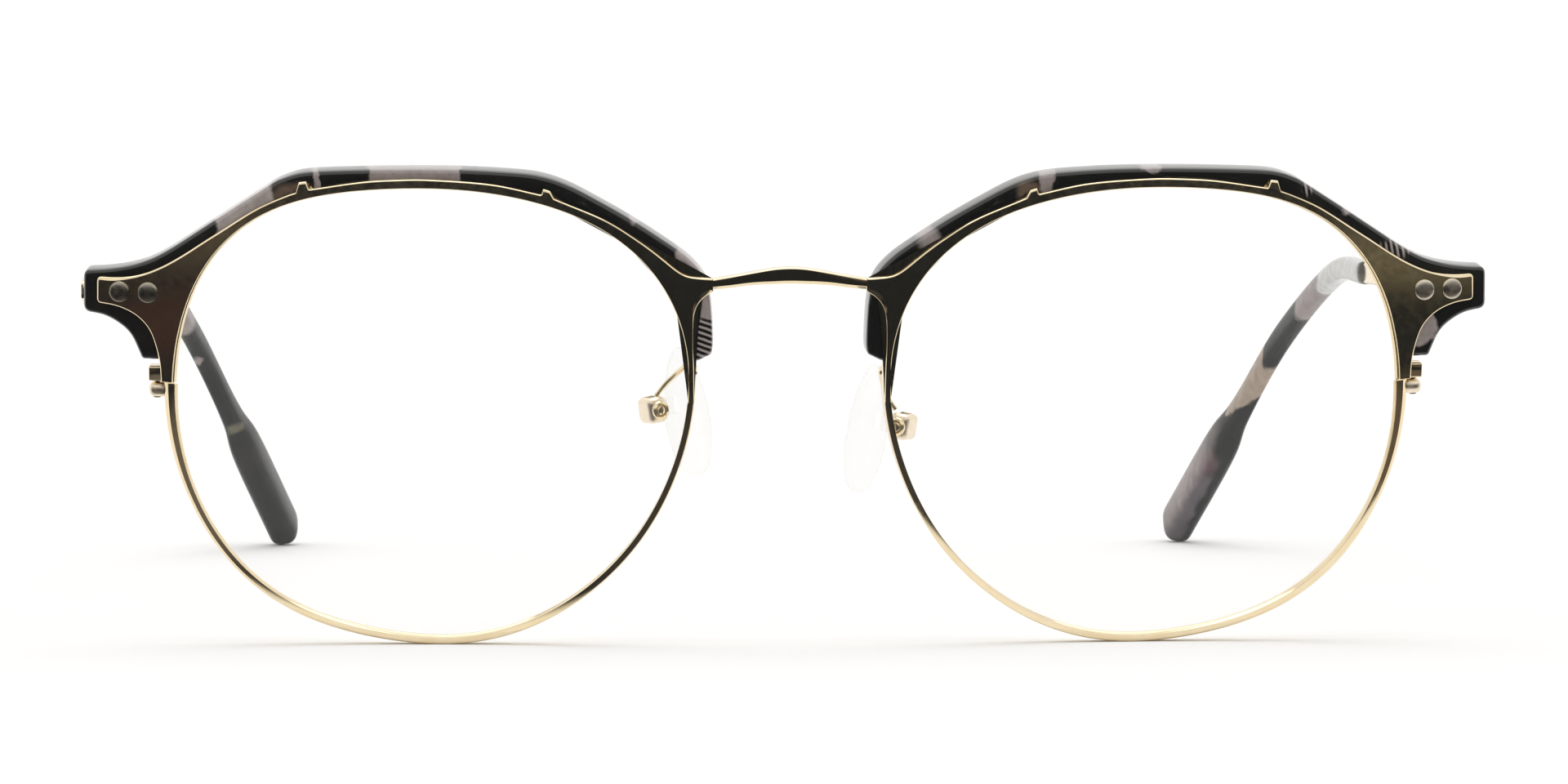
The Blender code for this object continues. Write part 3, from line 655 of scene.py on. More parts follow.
# Colours of the acetate, and how far its patches' edges wander.
DARK = (0.012, 0.0125, 0.012)
DARK_BROWN = (0.022, 0.019, 0.016)
LILAC = (0.33, 0.285, 0.275)
# A paler lilac: the real lilac pattern with painted light, for the patch on the upper slope of the wearer's
# right brow.
PAINTED_LIGHT_LILAC = (0.40, 0.355, 0.34)
AMBER = (0.15, 0.105, 0.075)
BEIGE = (0.42, 0.34, 0.27)
CLEAR = (0.66, 0.655, 0.64)
MAUVE = (0.13, 0.075, 0.085)
PURPLE_GREY = (0.125, 0.105, 0.118)
OLIVE = (0.16, 0.15, 0.10)
WANDER = 1.4


def acetate(name, layers, stripes=(), lean=0.0, gloss=0.5, coat=0.6):
    """Polished tortoise acetate: a near-black ground under layers of (colour, places), in millimetres."""
    tree = Tree(name)
    shake = tree.vector("SUBTRACT", tree.noise(0.55, 4.0, output="Color", roughness=0.6), (0.5, 0.5, 0.5))
    where = tree.vector("ADD", tree.here, tree.vector("SCALE", shake, scale=WANDER))
    colour = tree.mix(tree.ranged(tree.noise(0.25, 4.0), 0.5, 0.75), DARK, DARK_BROWN)
    cloudy = tree.ranged(tree.noise(0.9, 5.0, roughness=0.65), 0.3, 0.7)
    for tint, places in layers:
        deeper = tuple(c * 0.75 for c in tint)
        colour = tree.mix(patches(tree, where, places), colour, tree.mix(cloudy, deeper, tint))
    if stripes:
        wave = tree.add("ShaderNodeTexWave", bands_direction="X")
        turn = tree.add("ShaderNodeMapping")
        turn.inputs["Rotation"].default_value = (0, math.radians(lean), 0)
        tree.put(turn.inputs["Vector"], tree.here)
        tree.put(wave.inputs["Vector"], turn.outputs[0])
        wave.inputs["Scale"].default_value = 0.58
        wave.inputs["Distortion"].default_value = 1.2
        wave.inputs["Detail"].default_value = 2.0
        lines = tree.ranged(wave.outputs["Fac"], 0.45, 0.75)
        colour = tree.mix(patches(tree, where, stripes), colour, tree.mix(lines, DARK, LILAC))
    tree.give(
        Base_Color=colour,
        Roughness=tree.ranged(tree.noise(0.8, 3.0), 0.3, 0.7, 0.12, 0.2),
        IOR=1.49,
        Specular_IOR_Level=gloss,
        Coat_Weight=coat,
        Coat_Roughness=0.05,
    )
    tree.bump(tree.noise(0.5, 2.0), 0.04, 0.1 * MM)
    return tree.material


def see_through(name, colour, clear, edge, roughness, ior):
    """Clear plastic: it lets more show where it is seen square on than at its edges."""
    tree = Tree(name)
    facing = tree.add("ShaderNodeLayerWeight")
    facing.inputs["Blend"].default_value = 0.35
    cloudy = tree.noise(0.3, 3.0)
    tree.give(
        Base_Color=tree.mix(tree.ranged(cloudy, 0.3, 0.7), colour, tuple(c * 0.96 for c in colour)),
        Roughness=tree.ranged(tree.noise(0.7, 3.0), 0.3, 0.7, roughness * 0.8, roughness * 1.25),
        IOR=ior,
        Alpha=tree.ranged(facing.outputs["Facing"], 0.1, 0.95, clear, edge),
    )
    return tree.material


gold = metal("gold_plate", (0.90, 0.76, 0.52), (0.87, 0.72, 0.47), 0.12)
# A paler, rougher copy of the gold: the rougher polish is the finish, and the paler colour is painted
# light.
satin_painted_light_gold = metal("satin_gold_painted_light", (0.93, 0.82, 0.66), (0.88, 0.76, 0.58), 0.34)
steel = metal("rivet_steel", (0.40, 0.37, 0.31), (0.33, 0.30, 0.25), 0.32, 0.1)
clear_lens = see_through("lens_plastic", (0.95, 0.96, 0.96), 0.03, 0.25, 0.02, 1.5)
silicone = see_through("pad_silicone", (0.92, 0.92, 0.915), 0.06, 0.35, 0.25, 1.41)
# A paler copy of the rivet steel for the rivets on the wearer's left: its paler colour is painted light,
# not another metal.
painted_light_steel = metal("rivet_steel_painted_light", (0.66, 0.61, 0.51), (0.58, 0.53, 0.44), 0.32, 0.1)

# The acetate's patches. Each is a centre, half sizes, a lean and a softness.
brow_finish = {
    "right": acetate(
        "brow_acetate_right",
        (
            (AMBER, (((-48.6, -66, 44.4), (2.3, 8, 1.5), 0, 0.3),)),
            # The lilac patch on the brow's upper slope, painted paler as painted light where its top face
            # catches the light.
            (PAINTED_LIGHT_LILAC, (((-53.4, -62, 41), (3.2, 14, 8), 0, 0.06),)),
            (LILAC, (
                ((-46.6, -66, 46), (0.35, 8, 2.4), 0, 0.3),
                ((-36.9, -66, 46), (4.7, 12, 12), 0, 0.03),
                ((-15.3, -66, 42.5), (0.5, 6, 0.8), 30, 0.3),
                ((-9.6, -64, 38.5), (1.9, 12, 2.2), 20, 0.1),
                ((-8.8, -64, 33.0), (3.3, 12, 2.4), 0, 0.1),
            )),
        ),
        stripes=(((-8.6, -64, 30.0), (3.0, 12, 2.6), 0, 0.1),),
        lean=70,
    ),
    "left": acetate(
        "brow_acetate_left",
        (
            (AMBER, (((23.5, -66, 45.0), (1.3, 8, 1.2), 0, 0.3),)),
            (LILAC, (
                ((13.9, -65, 40.0), (1.2, 10, 1.7), -25, 0.3),
                ((25.3, -66, 46.4), (0.8, 10, 2.2), 0, 0.2),
                ((35.6, -66, 47.3), (1.1, 8, 0.5), 0, 0.25),
                ((55.6, -62, 43.2), (1.0, 8, 0.5), -30, 0.3),
                ((61.2, -60, 31.4), (3.6, 12, 2.5), 0, 0.06),
            )),
        ),
        stripes=(
            ((51.3, -62, 45.5), (0.7, 8, 1.3), 0, 0.2),
            ((60.3, -62, 39.2), (1.7, 8, 1.2), 0, 0.2),
        ),
        lean=10,
    ),
}
tip_finish = {
    "right": acetate(
        "tip_acetate_right",
        (
            (LILAC, (
                ((-64, 30.0, 30), (9, 14.5, 9), 0, 0.05),
                ((-60.2, 48.0, 22.4), (0.6, 2.0, 0.8), 0, 0.3),
            )),
            (OLIVE, (((-56.1, 55.8, 14.2), (0.9, 4.0, 0.6), -25, 0.5),)),
        ),
        gloss=0.08, coat=0.0,
    ),
    "left": acetate(
        "tip_acetate_left",
        (
            (CLEAR, (((64.5, 22.1, 31.5), (12, 9.6, 12), 0, 0.1),)),
            (LILAC, (((62.5, 35.2, 30.0), (12, 3.9, 12), 0, 0.15),)),
            (BEIGE, (((57.5, 52.3, 19.0), (12, 4.1, 12), 0, 0.08),)),
            (DARK, (((58.4, 55.0, 13.4), (14, 14, 3.5), -35, 0.06),)),
            (PURPLE_GREY, (((50.5, 65.0, 5.0), (9, 6.6, 9), 0, 0.15),)),
            (MAUVE, (((53.2, 60.5, 9.8), (1.5, 4, 1.6), 0, 0.5),)),
            (LILAC, (((51.2, 64.0, 7.0), (0.8, 9, 7), 22, 0.9),)),
            (DARK, (((54.5, 64.0, 7.0), (0.9, 12, 11), 22, 0.4),)),
        ),
        gloss=0.08, coat=0.0,
    ),
}


# Pieces of the front

def make_eyewire():
    """A metal channel round the lens, split at the rim lock. It is widest just below the lock.

    Towards the temples its outer front edge has a broad bevel, and a lip leans in over the lens.
    """
    back = EYEWIRE_FRONT + EYEWIRE_DEPTH
    middle = (EYEWIRE_FRONT + back) / 2
    half_groove = GROOVE_DEPTH + 0.15
    wall = EYEWIRE_WALL - 0.01
    split = direction_of((LENS_X + opening_radius(5), SPLIT_Z))
    half_gap = 0.25
    sections = []
    for k in range(EYEWIRE_STEPS + 1):
        degrees = split + half_gap + k * (360 - 2 * half_gap) / EYEWIRE_STEPS
        share = max(0.15, math.cos(math.radians(degrees + 12)))
        bevel = 0.06 + 0.26 * share
        profile = rounded_corners(
            (
                (-0.12 * share, EYEWIRE_FRONT), (wall - bevel, EYEWIRE_FRONT),
                (wall, EYEWIRE_FRONT + bevel), (wall, back), (0, back), (0, middle + half_groove),
                (GROOVE_DEPTH, middle), (0, middle - half_groove), (-0.36 * share, EYEWIRE_FRONT + 0.45),
            ),
            (0.04, 0.05, 0.05, 0.3, 0.2, 0.05, 0.05, 0.03, 0.04),
        )
        radius = opening_radius(degrees)
        wider = 1 + 0.4 * max(0, 1 - (split + 360 - degrees) / 30) ** 1.5
        sections.append([on_front(degrees, radius + out * wider, y) for out, y in profile])
    return loft(sections)


def make_lens():
    """A domed lens whose bevelled edge sits in the eyewire's groove."""
    middle = EYEWIRE_FRONT + EYEWIRE_DEPTH / 2
    half_edge = LENS_THICKNESS / 2
    shares = (0.1, 0.25, 0.4, 0.55, 0.7, 0.82, 0.92, 0.975)
    bm = bmesh.new()
    rings = []
    for degrees in range(0, 360, 3):
        edge = opening_radius(degrees)
        section = [on_front(degrees, edge * share, middle - half_edge) for share in shares]
        section.append(on_front(degrees, edge - 0.1, middle - half_edge))
        section.append(on_front(degrees, edge + GROOVE_DEPTH - 0.1, middle))
        section.append(on_front(degrees, edge - 0.1, middle + half_edge))
        section += [on_front(degrees, edge * share, middle + half_edge) for share in reversed(shares)]
        rings.append([bm.verts.new(p) for p in section])
    for ring, following in zip(rings, rings[1:] + rings[:1]):
        for k in range(len(ring) - 1):
            bm.faces.new((ring[k], ring[k + 1], following[k + 1], following[k]))
    for k, y in ((0, middle - half_edge), (-1, middle + half_edge)):
        centre = bm.verts.new(Vector((LENS_X, y, LENS_Z)))
        for ring, following in zip(rings, rings[1:] + rings[:1]):
            bm.faces.new((ring[k], following[k], centre))
    return bm


def plate_bevel(point):
    """How wide the plate's bevel is: widest under the bridge, and narrowest along the top of the lens."""
    under_bridge = max(0, 1 - (point - Vector((8.7, 34.9))).length / 2.4)
    at_end = max(0, 1 - (point - Vector((67.3, 36.4))).length / 2.5)
    on_arm = min(1, max(0, (point.x - 50) / 6))
    on_tab = max(0, 1 - min((point - Vector(tab)).length for tab in ((48.2, 46.2), (24.15, 45.6))) / 0.8)
    return 0.07 + 0.05 * on_arm + 0.46 * under_bridge + 0.17 * at_end + 0.12 * on_tab


def make_trim_plate():
    """The stamped plate: a flat face with a bevel along its outline and a small one along the lens."""
    outline = drawn(PLATE_RUNS, PLATE_CORNERS)
    widths = [plate_bevel(point) for point in outline]
    nearby = [widths[max(k - 3, 0):k + 4] for k in range(len(widths))]
    widths = [sum(near) / len(near) for near in nearby]
    # Share of the bevel's width, further margin, distance kept from the lens opening, and depth.
    levels = (
        (1.0, 0.1, 0.14, 0.0), (1.0, 0.05, 0.11, 0.0), (1.0, 0.0, 0.08, 0.015), (0.2, 0.0, 0.02, 0.13),
        (0.04, 0.0, 0.0, 0.17), (0.0, 0.0, 0.0, 0.22), (0.0, 0.0, 0.0, 0.5),
        (0.0, 0.05, 0.05, PLATE_THICKNESS),
    )
    loops = []
    for share, extra, beyond, y in levels:
        loops.append(front_loop(outline, [width * share + extra for width in widths], beyond, y, y))
    return stack(loops)


def make_brow():
    """The acetate brow, its outer edges rounded and polished."""
    outline = drawn(BROW_RUNS, BROW_CORNERS)
    clear = EYEWIRE_WALL + BROW_PLAY
    lip = 0.1
    ledge = EYEWIRE_FRONT + EYEWIRE_DEPTH + BROW_PLAY

    def loop(margin, beyond, outer_y, inner_y=None):
        margins = [margin] * len(outline)
        return front_loop(outline, margins, beyond, outer_y, outer_y if inner_y is None else inner_y)

    turns = [math.radians(degrees) for degrees in range(0, 91, 18)]
    arc = [(1 - math.sin(turn), 1 - math.cos(turn)) for turn in turns]
    loops = [loop(BROW_ROUNDING + 0.1, clear, BROW_FRONT)]
    for aside, down in arc:
        loops.append(loop(aside * BROW_ROUNDING, clear, BROW_FRONT + down * BROW_ROUNDING))
    loops.append(loop(0, clear, ledge))
    loops.append(loop(0, lip, ledge + 0.05, ledge))
    for aside, down in reversed(arc):
        loops.append(loop(aside * BROW_ROUNDING, lip + aside * 0.3, BROW_BACK - down * BROW_ROUNDING))
    loops.append(loop(BROW_ROUNDING + 0.1, lip + 0.4, BROW_BACK))
    return stack(loops)


def make_rivet():
    """A rivet with a domed head in front and a small one behind the hinge leaf."""
    back = -BROW_BACK - 0.73
    rises = [math.radians(degrees) for degrees in range(0, 91, 15)]
    dome = [(RIVET_HEAD_RADIUS * math.sin(t), 0.1 + RIVET_HEAD_HEIGHT * math.cos(t)) for t in rises]
    shank = [(RIVET_HEAD_RADIUS, -0.05), (RIVET_SHANK_RADIUS, -0.05), (RIVET_SHANK_RADIUS, back)]
    falls = [math.radians(degrees) for degrees in range(0, 90, 18)]
    small = [(RIVET_TAIL_RADIUS * math.cos(t), back - RIVET_TAIL_HEIGHT * math.sin(t)) for t in falls]
    return turned([*dome, *shank, *small, (0, back - RIVET_TAIL_HEIGHT)])


def slotted(mesh, place, size):
    """The mesh with a screwdriver's slot across the top of its head."""
    slot = to_mesh(block(size, edge=0.02, segments=1), place)
    return combined(mesh, ("DIFFERENCE", slot))


def make_rim_lock():
    """The rim lock: a block above the split, one below it, and a screw up through both."""
    middle_x, middle_y = sum(LOCK_X) / 2, sum(LOCK_Y) / 2
    y = middle_y + sag(middle_x, SPLIT_Z)
    low, high = LOCK_Z
    spans = {"upper": (SPLIT_Z + HALF_LOCK_GAP, high), "lower": (low, SPLIT_Z - HALF_LOCK_GAP)}
    for name, (bottom, top) in spans.items():
        size = (LOCK_X[1] - LOCK_X[0] + 0.4, LOCK_Y[1] - LOCK_Y[0], top - bottom)
        # The lower block gets the paler satin copy of the gold, painted light that makes it brighter than
        # the upper one.
        edge, finish = (0.6, satin_painted_light_gold) if name == "lower" else (0.15, gold)
        pair(f"rim_lock_{name}", block(size, (middle_x - 0.2, y, (bottom + top) / 2), edge), HALF, finish)
    under = low - 0.07 - SPLIT_Z
    profile = [(0, 1.4), (0.28, 1.4), (0.28, under + 0.1), (0.4, under + 0.1), (0.4, under + 0.02)]
    profile += [(0.34, under - 0.05), (0, under - 0.06)]
    screw = to_mesh(turned(profile, 32))
    screw = slotted(screw, moved(0, 0, under - 0.06), (1.4, 0.14, 0.16))
    pair("rim_lock_screw", screw, HALF @ moved(middle_x, y, SPLIT_Z), steel)


def make_bridge():
    """The bridge: a crowned bar that runs into both trim plates."""
    x, low, high, y = BRIDGE_STATIONS[-1]
    half = [*BRIDGE_STATIONS, (x + 0.6, low - 0.1, high - 0.05, y + 0.12)]
    stations = [(-x, low, high, y) for x, low, high, y in reversed(half[1:])] + half
    path = smooth([(x, y, low) for x, low, high, y in stations], 8)
    tops = smooth([(x, y, high) for x, low, high, y in stations], 8)
    sections = []
    for under, over in zip(path, tops):
        x, y, low, high = under.x, under.y, under.z, over.z
        back = y + BRIDGE_DEPTH
        corners = (
            (y + 0.02, high - 0.12), (y + 0.16, high), (back - 0.1, high), (back, low + 0.3),
            (y + 0.9, low), (y + 0.35, low + 0.12), (y, low + 0.46),
        )
        profile = rounded_corners(corners, (0.1, 0.1, 0.4, 0.3, 0.4, 0.3, 0.12))
        sections.append([Vector((x, v, w)) for v, w in profile])
    mesh = to_mesh(loft(sections))
    mesh.transform(FRONT)
    show("bridge_look", mesh, "bridge", gold)


# Hinges and temples

def make_hinge():
    """A three-knuckle hinge: a leaf and an arm with two knuckles, and a pad with the middle one."""
    leaf_depth = BROW_BACK + 0.1 + HINGE_LEAF_SIZE[2] / 2
    to_hinge = HINGE_PLACE.inverted() @ HALF @ surface_place(HINGE_LEAF_X, RIVET_Z)
    leaf = to_mesh(block(HINGE_LEAF_SIZE, (0, 0, -leaf_depth), 0.12), to_hinge)
    arm = to_mesh(block((1.2, 3.2, HINGE_HEIGHT), (-0.35, -1.3, 0), 0.15))
    barrel = to_mesh(rounded_cylinder(KNUCKLE_RADIUS, HINGE_HEIGHT, 0.12))
    slot_height = MIDDLE_KNUCKLE + 2 * HINGE_CLEARANCE
    slot = to_mesh(rounded_cylinder(KNUCKLE_RADIUS + 0.35, slot_height, 0.01))
    front = combined(barrel, ("UNION", arm), ("UNION", leaf), ("DIFFERENCE", slot))
    pair("hinge_front", front, HINGE_PLACE, gold, 30)

    lean = math.atan2(TEMPLE_FRONT[0] - TEMPLE_FERRULE[0], TEMPLE_FERRULE[1] - TEMPLE_FRONT[1])
    turn = Matrix.Rotation(lean, 4, "Z")
    knuckle = to_mesh(rounded_cylinder(KNUCKLE_RADIUS, MIDDLE_KNUCKLE, 0.08))
    web = to_mesh(block((0.8, 3.2, MIDDLE_KNUCKLE - 0.02), (0.98, 1.5, 0), 0.1), turn)
    pad = to_mesh(block((0.7, 5.0, 2.4), (0.95, 4.6, 0), 0.2), turn)
    pair("hinge_temple", combined(knuckle, ("UNION", web), ("UNION", pad)), HINGE_PLACE, gold, 30)

    top = HINGE_HEIGHT / 2
    head = ((0, 0.4), (0.75, 0.4), (0.88, 0.36), (0.95, 0.27), (0.95, 0.04), (0.55, 0.04))
    profile = [(r, top + h) for r, h in head]
    profile += [(0.55, -top - 0.15), (0.48, -top - 0.22), (0, -top - 0.22)]
    screw = slotted(to_mesh(turned(profile)), moved(0, 0, top + 0.4), (2.4, 0.26, 0.4))
    pair("hinge_screw", screw, HINGE_PLACE, steel)


def frame_along(path, place):
    """The side and height directions of the temple where its path goes from one point to the next."""
    along = (path[min(place + 1, len(path) - 1)] - path[max(place - 1, 0)]).normalized()
    side = (Vector((1, 0, 0)) - along * along.x).normalized()
    return side, side.cross(along)


def bar_section(point, side, height, thickness, tall, edge=0.28):
    t, h = thickness / 2, tall / 2
    corners = rounded_corners(((t, -h), (t, h), (-t, h), (-t, -h)), (edge,) * 4, 5)
    return [point + side * u + height * v for u, v in corners]


def make_temple():
    """The metal temple, a flat bar with rounded edges that runs into the acetate tip."""
    start, ferrule = Vector(TEMPLE_FRONT), Vector(TEMPLE_FERRULE)
    along = (ferrule - start).normalized()
    side = Vector((along.y, -along.x, 0)).normalized()
    height = side.cross(along)
    length = (ferrule - start).length
    sections = []
    nose = ((0.0, 0.4), (0.1, 0.48), (0.5, 0.56), (1.2, 0.66), (2.2, 0.8), (TEMPLE_NOSE_LENGTH, 0.92))
    for place, share in nose:
        tall = TEMPLE_HEIGHTS[0] * share
        thick = TEMPLE_THICKNESS * (0.8 if place == 0 else 1)
        sections.append(bar_section(start + along * place, side, height, thick, tall, 0.25))
    for k in range(3, 41):
        place = TEMPLE_NOSE_LENGTH + (length - TEMPLE_NOSE_LENGTH) * k / 40
        tall = TEMPLE_HEIGHTS[0] + (TEMPLE_HEIGHTS[1] - TEMPLE_HEIGHTS[0]) * place / length
        sections.append(bar_section(start + along * place, side, height, TEMPLE_THICKNESS, tall))
    sections.append(bar_section(ferrule + along * 1.5, side, height, 1.1, 1.4))
    return loft(sections)


def oval_section(point, side, height, thickness, tall):
    section = []
    for k in range(48):
        turn = 2 * math.pi * k / 48
        u = math.copysign(abs(math.cos(turn)) ** 0.7, math.cos(turn))
        v = math.copysign(abs(math.sin(turn)) ** 0.7, math.sin(turn))
        section.append(point + side * (u * thickness / 2) + height * (v * tall / 2))
    return section


def make_tip():
    """The acetate tip, bent down behind the ear and widening to a paddle."""
    steps = 16
    path = smooth(TIP_PATH, steps)
    sizes = smooth([(a, b, 0.0) for a, b in zip(TIP_THICKNESSES, TIP_HEIGHTS)], steps)
    side, height = frame_along(path, 0)
    along = (path[1] - path[0]).normalized()
    sections = []
    for place, share in ((0.0, 0.82), (0.06, 0.93), (0.18, 0.99)):
        size = sizes[0] * share
        sections.append(oval_section(path[0] + along * place, side, height, size.x, size.y))
    for k, point in enumerate(path[1:], 1):
        side, height = frame_along(path, k)
        sections.append(oval_section(point, side, height, sizes[k].x, sizes[k].y))
    along = (path[-1] - path[-2]).normalized()
    for degrees in (15, 30, 45, 60, 72, 82, 88):
        out = TIP_END_LENGTH * math.sin(math.radians(degrees))
        size = sizes[-1] * math.cos(math.radians(degrees))
        sections.append(oval_section(path[-1] + along * out, side, height, size.x, size.y))
    return loft(sections)


# Nose pads

def make_pad_arm(side, bend):
    """A bent wire from the trim plate to the pad's box, a little slimmer than the model's."""
    radius = PAD_ARM_RADIUS - 0.09
    path = smooth(bend, 12)
    sections = []
    across = Vector((0, 0, 1))
    for k, point in enumerate(path):
        along = (path[min(k + 1, len(path) - 1)] - path[max(k - 1, 0)]).normalized()
        across = (across - along * across.dot(along)).normalized()
        other = along.cross(across)
        turns = [2 * math.pi * n / 24 for n in range(24)]
        spokes = [across * math.cos(t) + other * math.sin(t) for t in turns]
        sections.append([point + spoke * radius for spoke in spokes])
    mesh = to_mesh(loft(sections))
    mesh.transform(UPRIGHT)
    show(f"pad_arm_{side}_look", mesh, f"pad_arm_{side}", gold)


def make_pads():
    """The nose pad, its box and its screw."""
    width, depth, height = PAD_BOX_SIZE
    holder = to_mesh(block(PAD_BOX_SIZE, edge=0.62, segments=5))
    slot = to_mesh(block((width - 2 * PAD_BOX_WALL, depth, height + 1), (0, depth / 4, 0), 0.05))
    # The pad boxes get the paler satin copy of the gold, whose paler colour is painted light.
    pair("pad_box", combined(holder, ("DIFFERENCE", slot)), PAD_PLACE, satin_painted_light_gold, 30, RIGHT_PAD_SHIFT)

    bm = bmesh.new()
    bmesh.ops.create_uvsphere(bm, u_segments=64, v_segments=40, radius=1)
    wide, deep, tall = PAD_SEMI_AXES
    for vert in bm.verts:
        x, y, z = vert.co
        flat = math.copysign(abs(y) ** 0.8, y)
        vert.co = Vector((x * wide * (1 - 0.22 * z), flat * deep + PAD_STANDOFF, z * tall - PAD_DROP))
    tongue_size = (width - 2 * PAD_BOX_WALL - 0.3, PAD_STANDOFF + 0.35, 1.7)
    tongue = to_mesh(block(tongue_size, (0, (PAD_STANDOFF - 0.35) / 2, 0), 0.2))
    pair("nose_pad", combined(to_mesh(bm), ("UNION", tongue)), PAD_PLACE, silicone, 40, RIGHT_PAD_SHIFT)

    end = width / 2
    head = (
        (0, 0.3), (0.4, 0.3), (0.48, 0.24), (0.52, 0.16), (0.6, 0.16), (0.64, 0.34), (0.74, 0.42),
        (0.86, 0.36), (0.95, 0.22), (0.95, 0.03), (0.35, 0.03),
    )
    profile = [(r, end + h) for r, h in head] + [(0.35, -end - 0.15), (0, -end - 0.15)]
    screw = slotted(to_mesh(turned(profile)), moved(0, 0, end + 0.3), (0.8, 0.14, 0.24))
    pair("pad_screw", screw, PAD_PLACE @ rotation(-90, "Y"), gold, 40, RIGHT_PAD_SHIFT)


def make_glasses():
    pair("eyewire", make_eyewire(), HALF, gold)
    pair("lens", make_lens(), HALF, clear_lens)
    pair("trim_plate", make_trim_plate(), HALF, gold, 50)
    pair("brow_piece", make_brow(), HALF, brow_finish, 50)
    for name, x in zip(("outer", "inner"), RIVET_X):
        # The rivets on the wearer's left get the paler copy of the steel, which is painted light.
        finish = {"right": steel, "left": painted_light_steel}
        pair(f"rivet_{name}", make_rivet(), HALF @ surface_place(x, RIVET_Z), finish)
    make_rim_lock()
    make_bridge()
    make_hinge()
    pair("temple", make_temple(), UPRIGHT, gold)
    pair("temple_tip", make_tip(), UPRIGHT, tip_finish)
    make_pad_arm("left", PAD_ARM_BEND)
    make_pad_arm("right", RIGHT_PAD_ARM_BEND)
    make_pads()


# The studio

FLOOR_HALF = 8.0
CAMERA_DISTANCE = 0.9
CAMERA_AZIMUTH = -2.72
CAMERA_ELEVATION = 3.35
CAMERA_AIM = (-0.0005, -0.0671, 0.02518)
CAMERA_LENS = 209.25
SUN_TILT = -12
SUN_ANGLE = 60
BACKDROP_STRENGTH = 1.05
WARM_WHITE = (1.0, 0.99, 0.97)
ROOM_DARK = (0.035, 0.032, 0.026)
CARD_DARK = (0.018, 0.021, 0.026)
# The card's coloured patches: centre, half sizes, softness and colour.
CARD_PATCHES = (
    ((-124, -212, 0), (24, 48, 9), 0.5, (0.052, 0.033, 0.036)),
    ((195, -330, 0), (80, 80, 9), 0.4, (0.16, 0.15, 0.12)),
    ((-76, -105, 0), (24, 36, 9), 0.4, (0.15, 0.14, 0.135)),
    ((-2, -106, 0), (24, 40, 9), 0.3, (0.05, 0.05, 0.055)),
    ((85, -118, 0), (34, 34, 9), 0.4, (0.12, 0.10, 0.085)),
    ((-190, -420, 0), (60, 110, 9), 0.5, (0.10, 0.09, 0.08)),
)


def flat_sheet(name, corners, z):
    bm = bmesh.new()
    bm.faces.new([bm.verts.new((x, y, z)) for x, y in corners])
    mesh = bpy.data.meshes.new(name)
    bm.to_mesh(mesh)
    bm.free()
    obj = bpy.data.objects.new(name, mesh)
    bpy.context.scene.collection.objects.link(obj)
    return obj


def make_floor():
    size = FLOOR_HALF
    corners = ((-size, -size), (size, -size), (size, size), (-size, size))
    floor = flat_sheet("floor", corners, cad_box[0][2])
    tree = Tree("floor_white")
    tree.give(Base_Color=(0.9, 0.9, 0.9), Roughness=0.9, Specular_IOR_Level=0.0)
    floor.data.materials.append(tree.material)


def make_card():
    """A low card in front that only reflections see.

    It is dark with coloured patches, and white where the lower rims look at it.
    """
    corners = ((-3, -0.0655), (3, -0.0655), (3, -4), (-3, -4))
    card = flat_sheet("dark_card", corners, cad_box[0][2] + 0.4 * MM)
    tree = Tree("card_dark")
    parts = tree.add("ShaderNodeSeparateXYZ")
    tree.put(parts.inputs[0], tree.here)
    x, y = parts.outputs[0], parts.outputs[1]
    edge = tree.ranged(x, -4.0, 10.0, -69.5, -89.0)
    white = tree.ranged(tree.maths("SUBTRACT", y, edge), -5.0, 2.0)
    colour = CARD_DARK
    for centre, size, soft, tint in CARD_PATCHES:
        colour = tree.mix(patch(tree, tree.here, centre, size, 0, soft), colour, tint)
    colour = tree.mix(white, colour, WARM_WHITE)
    tree.give(Base_Color=(0.0, 0.0, 0.0), Specular_IOR_Level=0.0)
    tree.give(Emission_Color=colour, Emission_Strength=1.0)
    card.data.materials.append(tree.material)
    card.visible_camera = False
    card.visible_diffuse = False
    card.visible_shadow = False
    card.visible_transmission = False


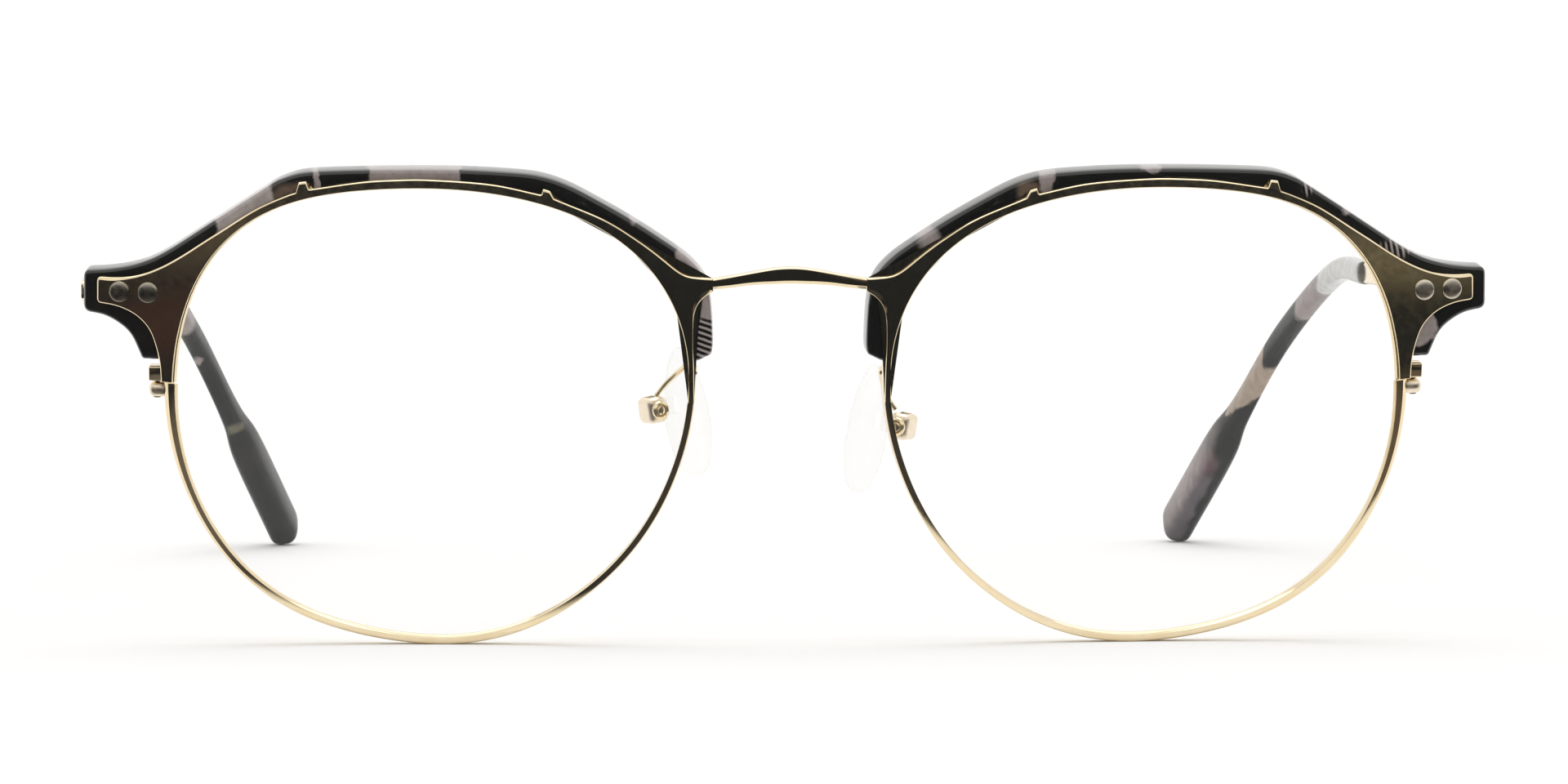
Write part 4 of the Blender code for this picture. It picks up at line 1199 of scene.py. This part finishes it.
def make_world():
    """Soft white light from above and behind, and a dim room in front, below eye level."""
    world = bpy.data.worlds.new("studio")
    bpy.context.scene.world = world
    world.use_nodes = True
    nodes, links = world.node_tree.nodes, world.node_tree.links
    nodes.clear()
    output = nodes.new("ShaderNodeOutputWorld")
    backdrop, room = nodes.new("ShaderNodeBackground"), nodes.new("ShaderNodeBackground")
    backdrop.inputs["Color"].default_value = (1, 1, 1, 1)
    backdrop.inputs["Strength"].default_value = BACKDROP_STRENGTH
    place = nodes.new("ShaderNodeSeparateXYZ")
    links.new(nodes.new("ShaderNodeTexCoord").outputs["Generated"], place.inputs[0])

    def rising(socket, low, high):
        node = nodes.new("ShaderNodeMapRange")
        node.interpolation_type = "SMOOTHSTEP"
        links.new(socket, node.inputs["Value"])
        node.inputs["From Min"].default_value = low
        node.inputs["From Max"].default_value = high
        return node.outputs["Result"]

    above = rising(place.outputs["Z"], 0.12, 0.45)
    behind = rising(place.outputs["Y"], -0.35, 0.15)
    most = nodes.new("ShaderNodeMath")
    most.operation = "MAXIMUM"
    links.new(above, most.inputs[0])
    links.new(behind, most.inputs[1])
    tint = nodes.new("ShaderNodeMix")
    tint.data_type = "RGBA"
    dimmed = nodes.new("ShaderNodeMath")
    dimmed.operation = "MULTIPLY_ADD"
    links.new(rising(place.outputs["Z"], 0.72, 0.95), dimmed.inputs[0])
    dimmed.inputs[1].default_value = -0.45
    links.new(most.outputs[0], dimmed.inputs[2])
    links.new(dimmed.outputs[0], tint.inputs["Factor"])
    tint.inputs[6].default_value = (*ROOM_DARK, 1)
    tint.inputs[7].default_value = (*WARM_WHITE, 1)
    links.new(tint.outputs[2], room.inputs["Color"])
    seen = nodes.new("ShaderNodeLightPath")
    mixed = nodes.new("ShaderNodeMixShader")
    links.new(seen.outputs["Is Camera Ray"], mixed.inputs[0])
    links.new(room.outputs[0], mixed.inputs[1])
    links.new(backdrop.outputs[0], mixed.inputs[2])
    links.new(mixed.outputs[0], output.inputs["Surface"])


def make_lights():
    sun = bpy.data.lights.new("soft_overhead", "SUN")
    sun.energy = 1.1
    sun.angle = math.radians(SUN_ANGLE)
    lamp = bpy.data.objects.new("soft_overhead", sun)
    lamp.rotation_euler = (math.radians(SUN_TILT), 0, 0)
    bpy.context.scene.collection.objects.link(lamp)


def make_camera():
    turn, rise = math.radians(CAMERA_AZIMUTH), math.radians(CAMERA_ELEVATION)
    back = Vector((math.sin(turn) * math.cos(rise), -math.cos(turn) * math.cos(rise), math.sin(rise)))
    data = bpy.data.cameras.new("camera")
    data.lens = CAMERA_LENS
    data.sensor_width = 36.0
    data.clip_start = 0.05
    camera = bpy.data.objects.new("camera", data)
    camera.location = Vector(CAMERA_AIM) + back * CAMERA_DISTANCE
    camera.rotation_euler = back.to_track_quat("Z", "Y").to_euler()
    bpy.context.scene.collection.objects.link(camera)
    bpy.context.scene.camera = camera


make_glasses()
make_floor()
make_card()
make_world()
make_lights()
make_camera()
bpy.context.scene.view_settings.view_transform = "Standard"
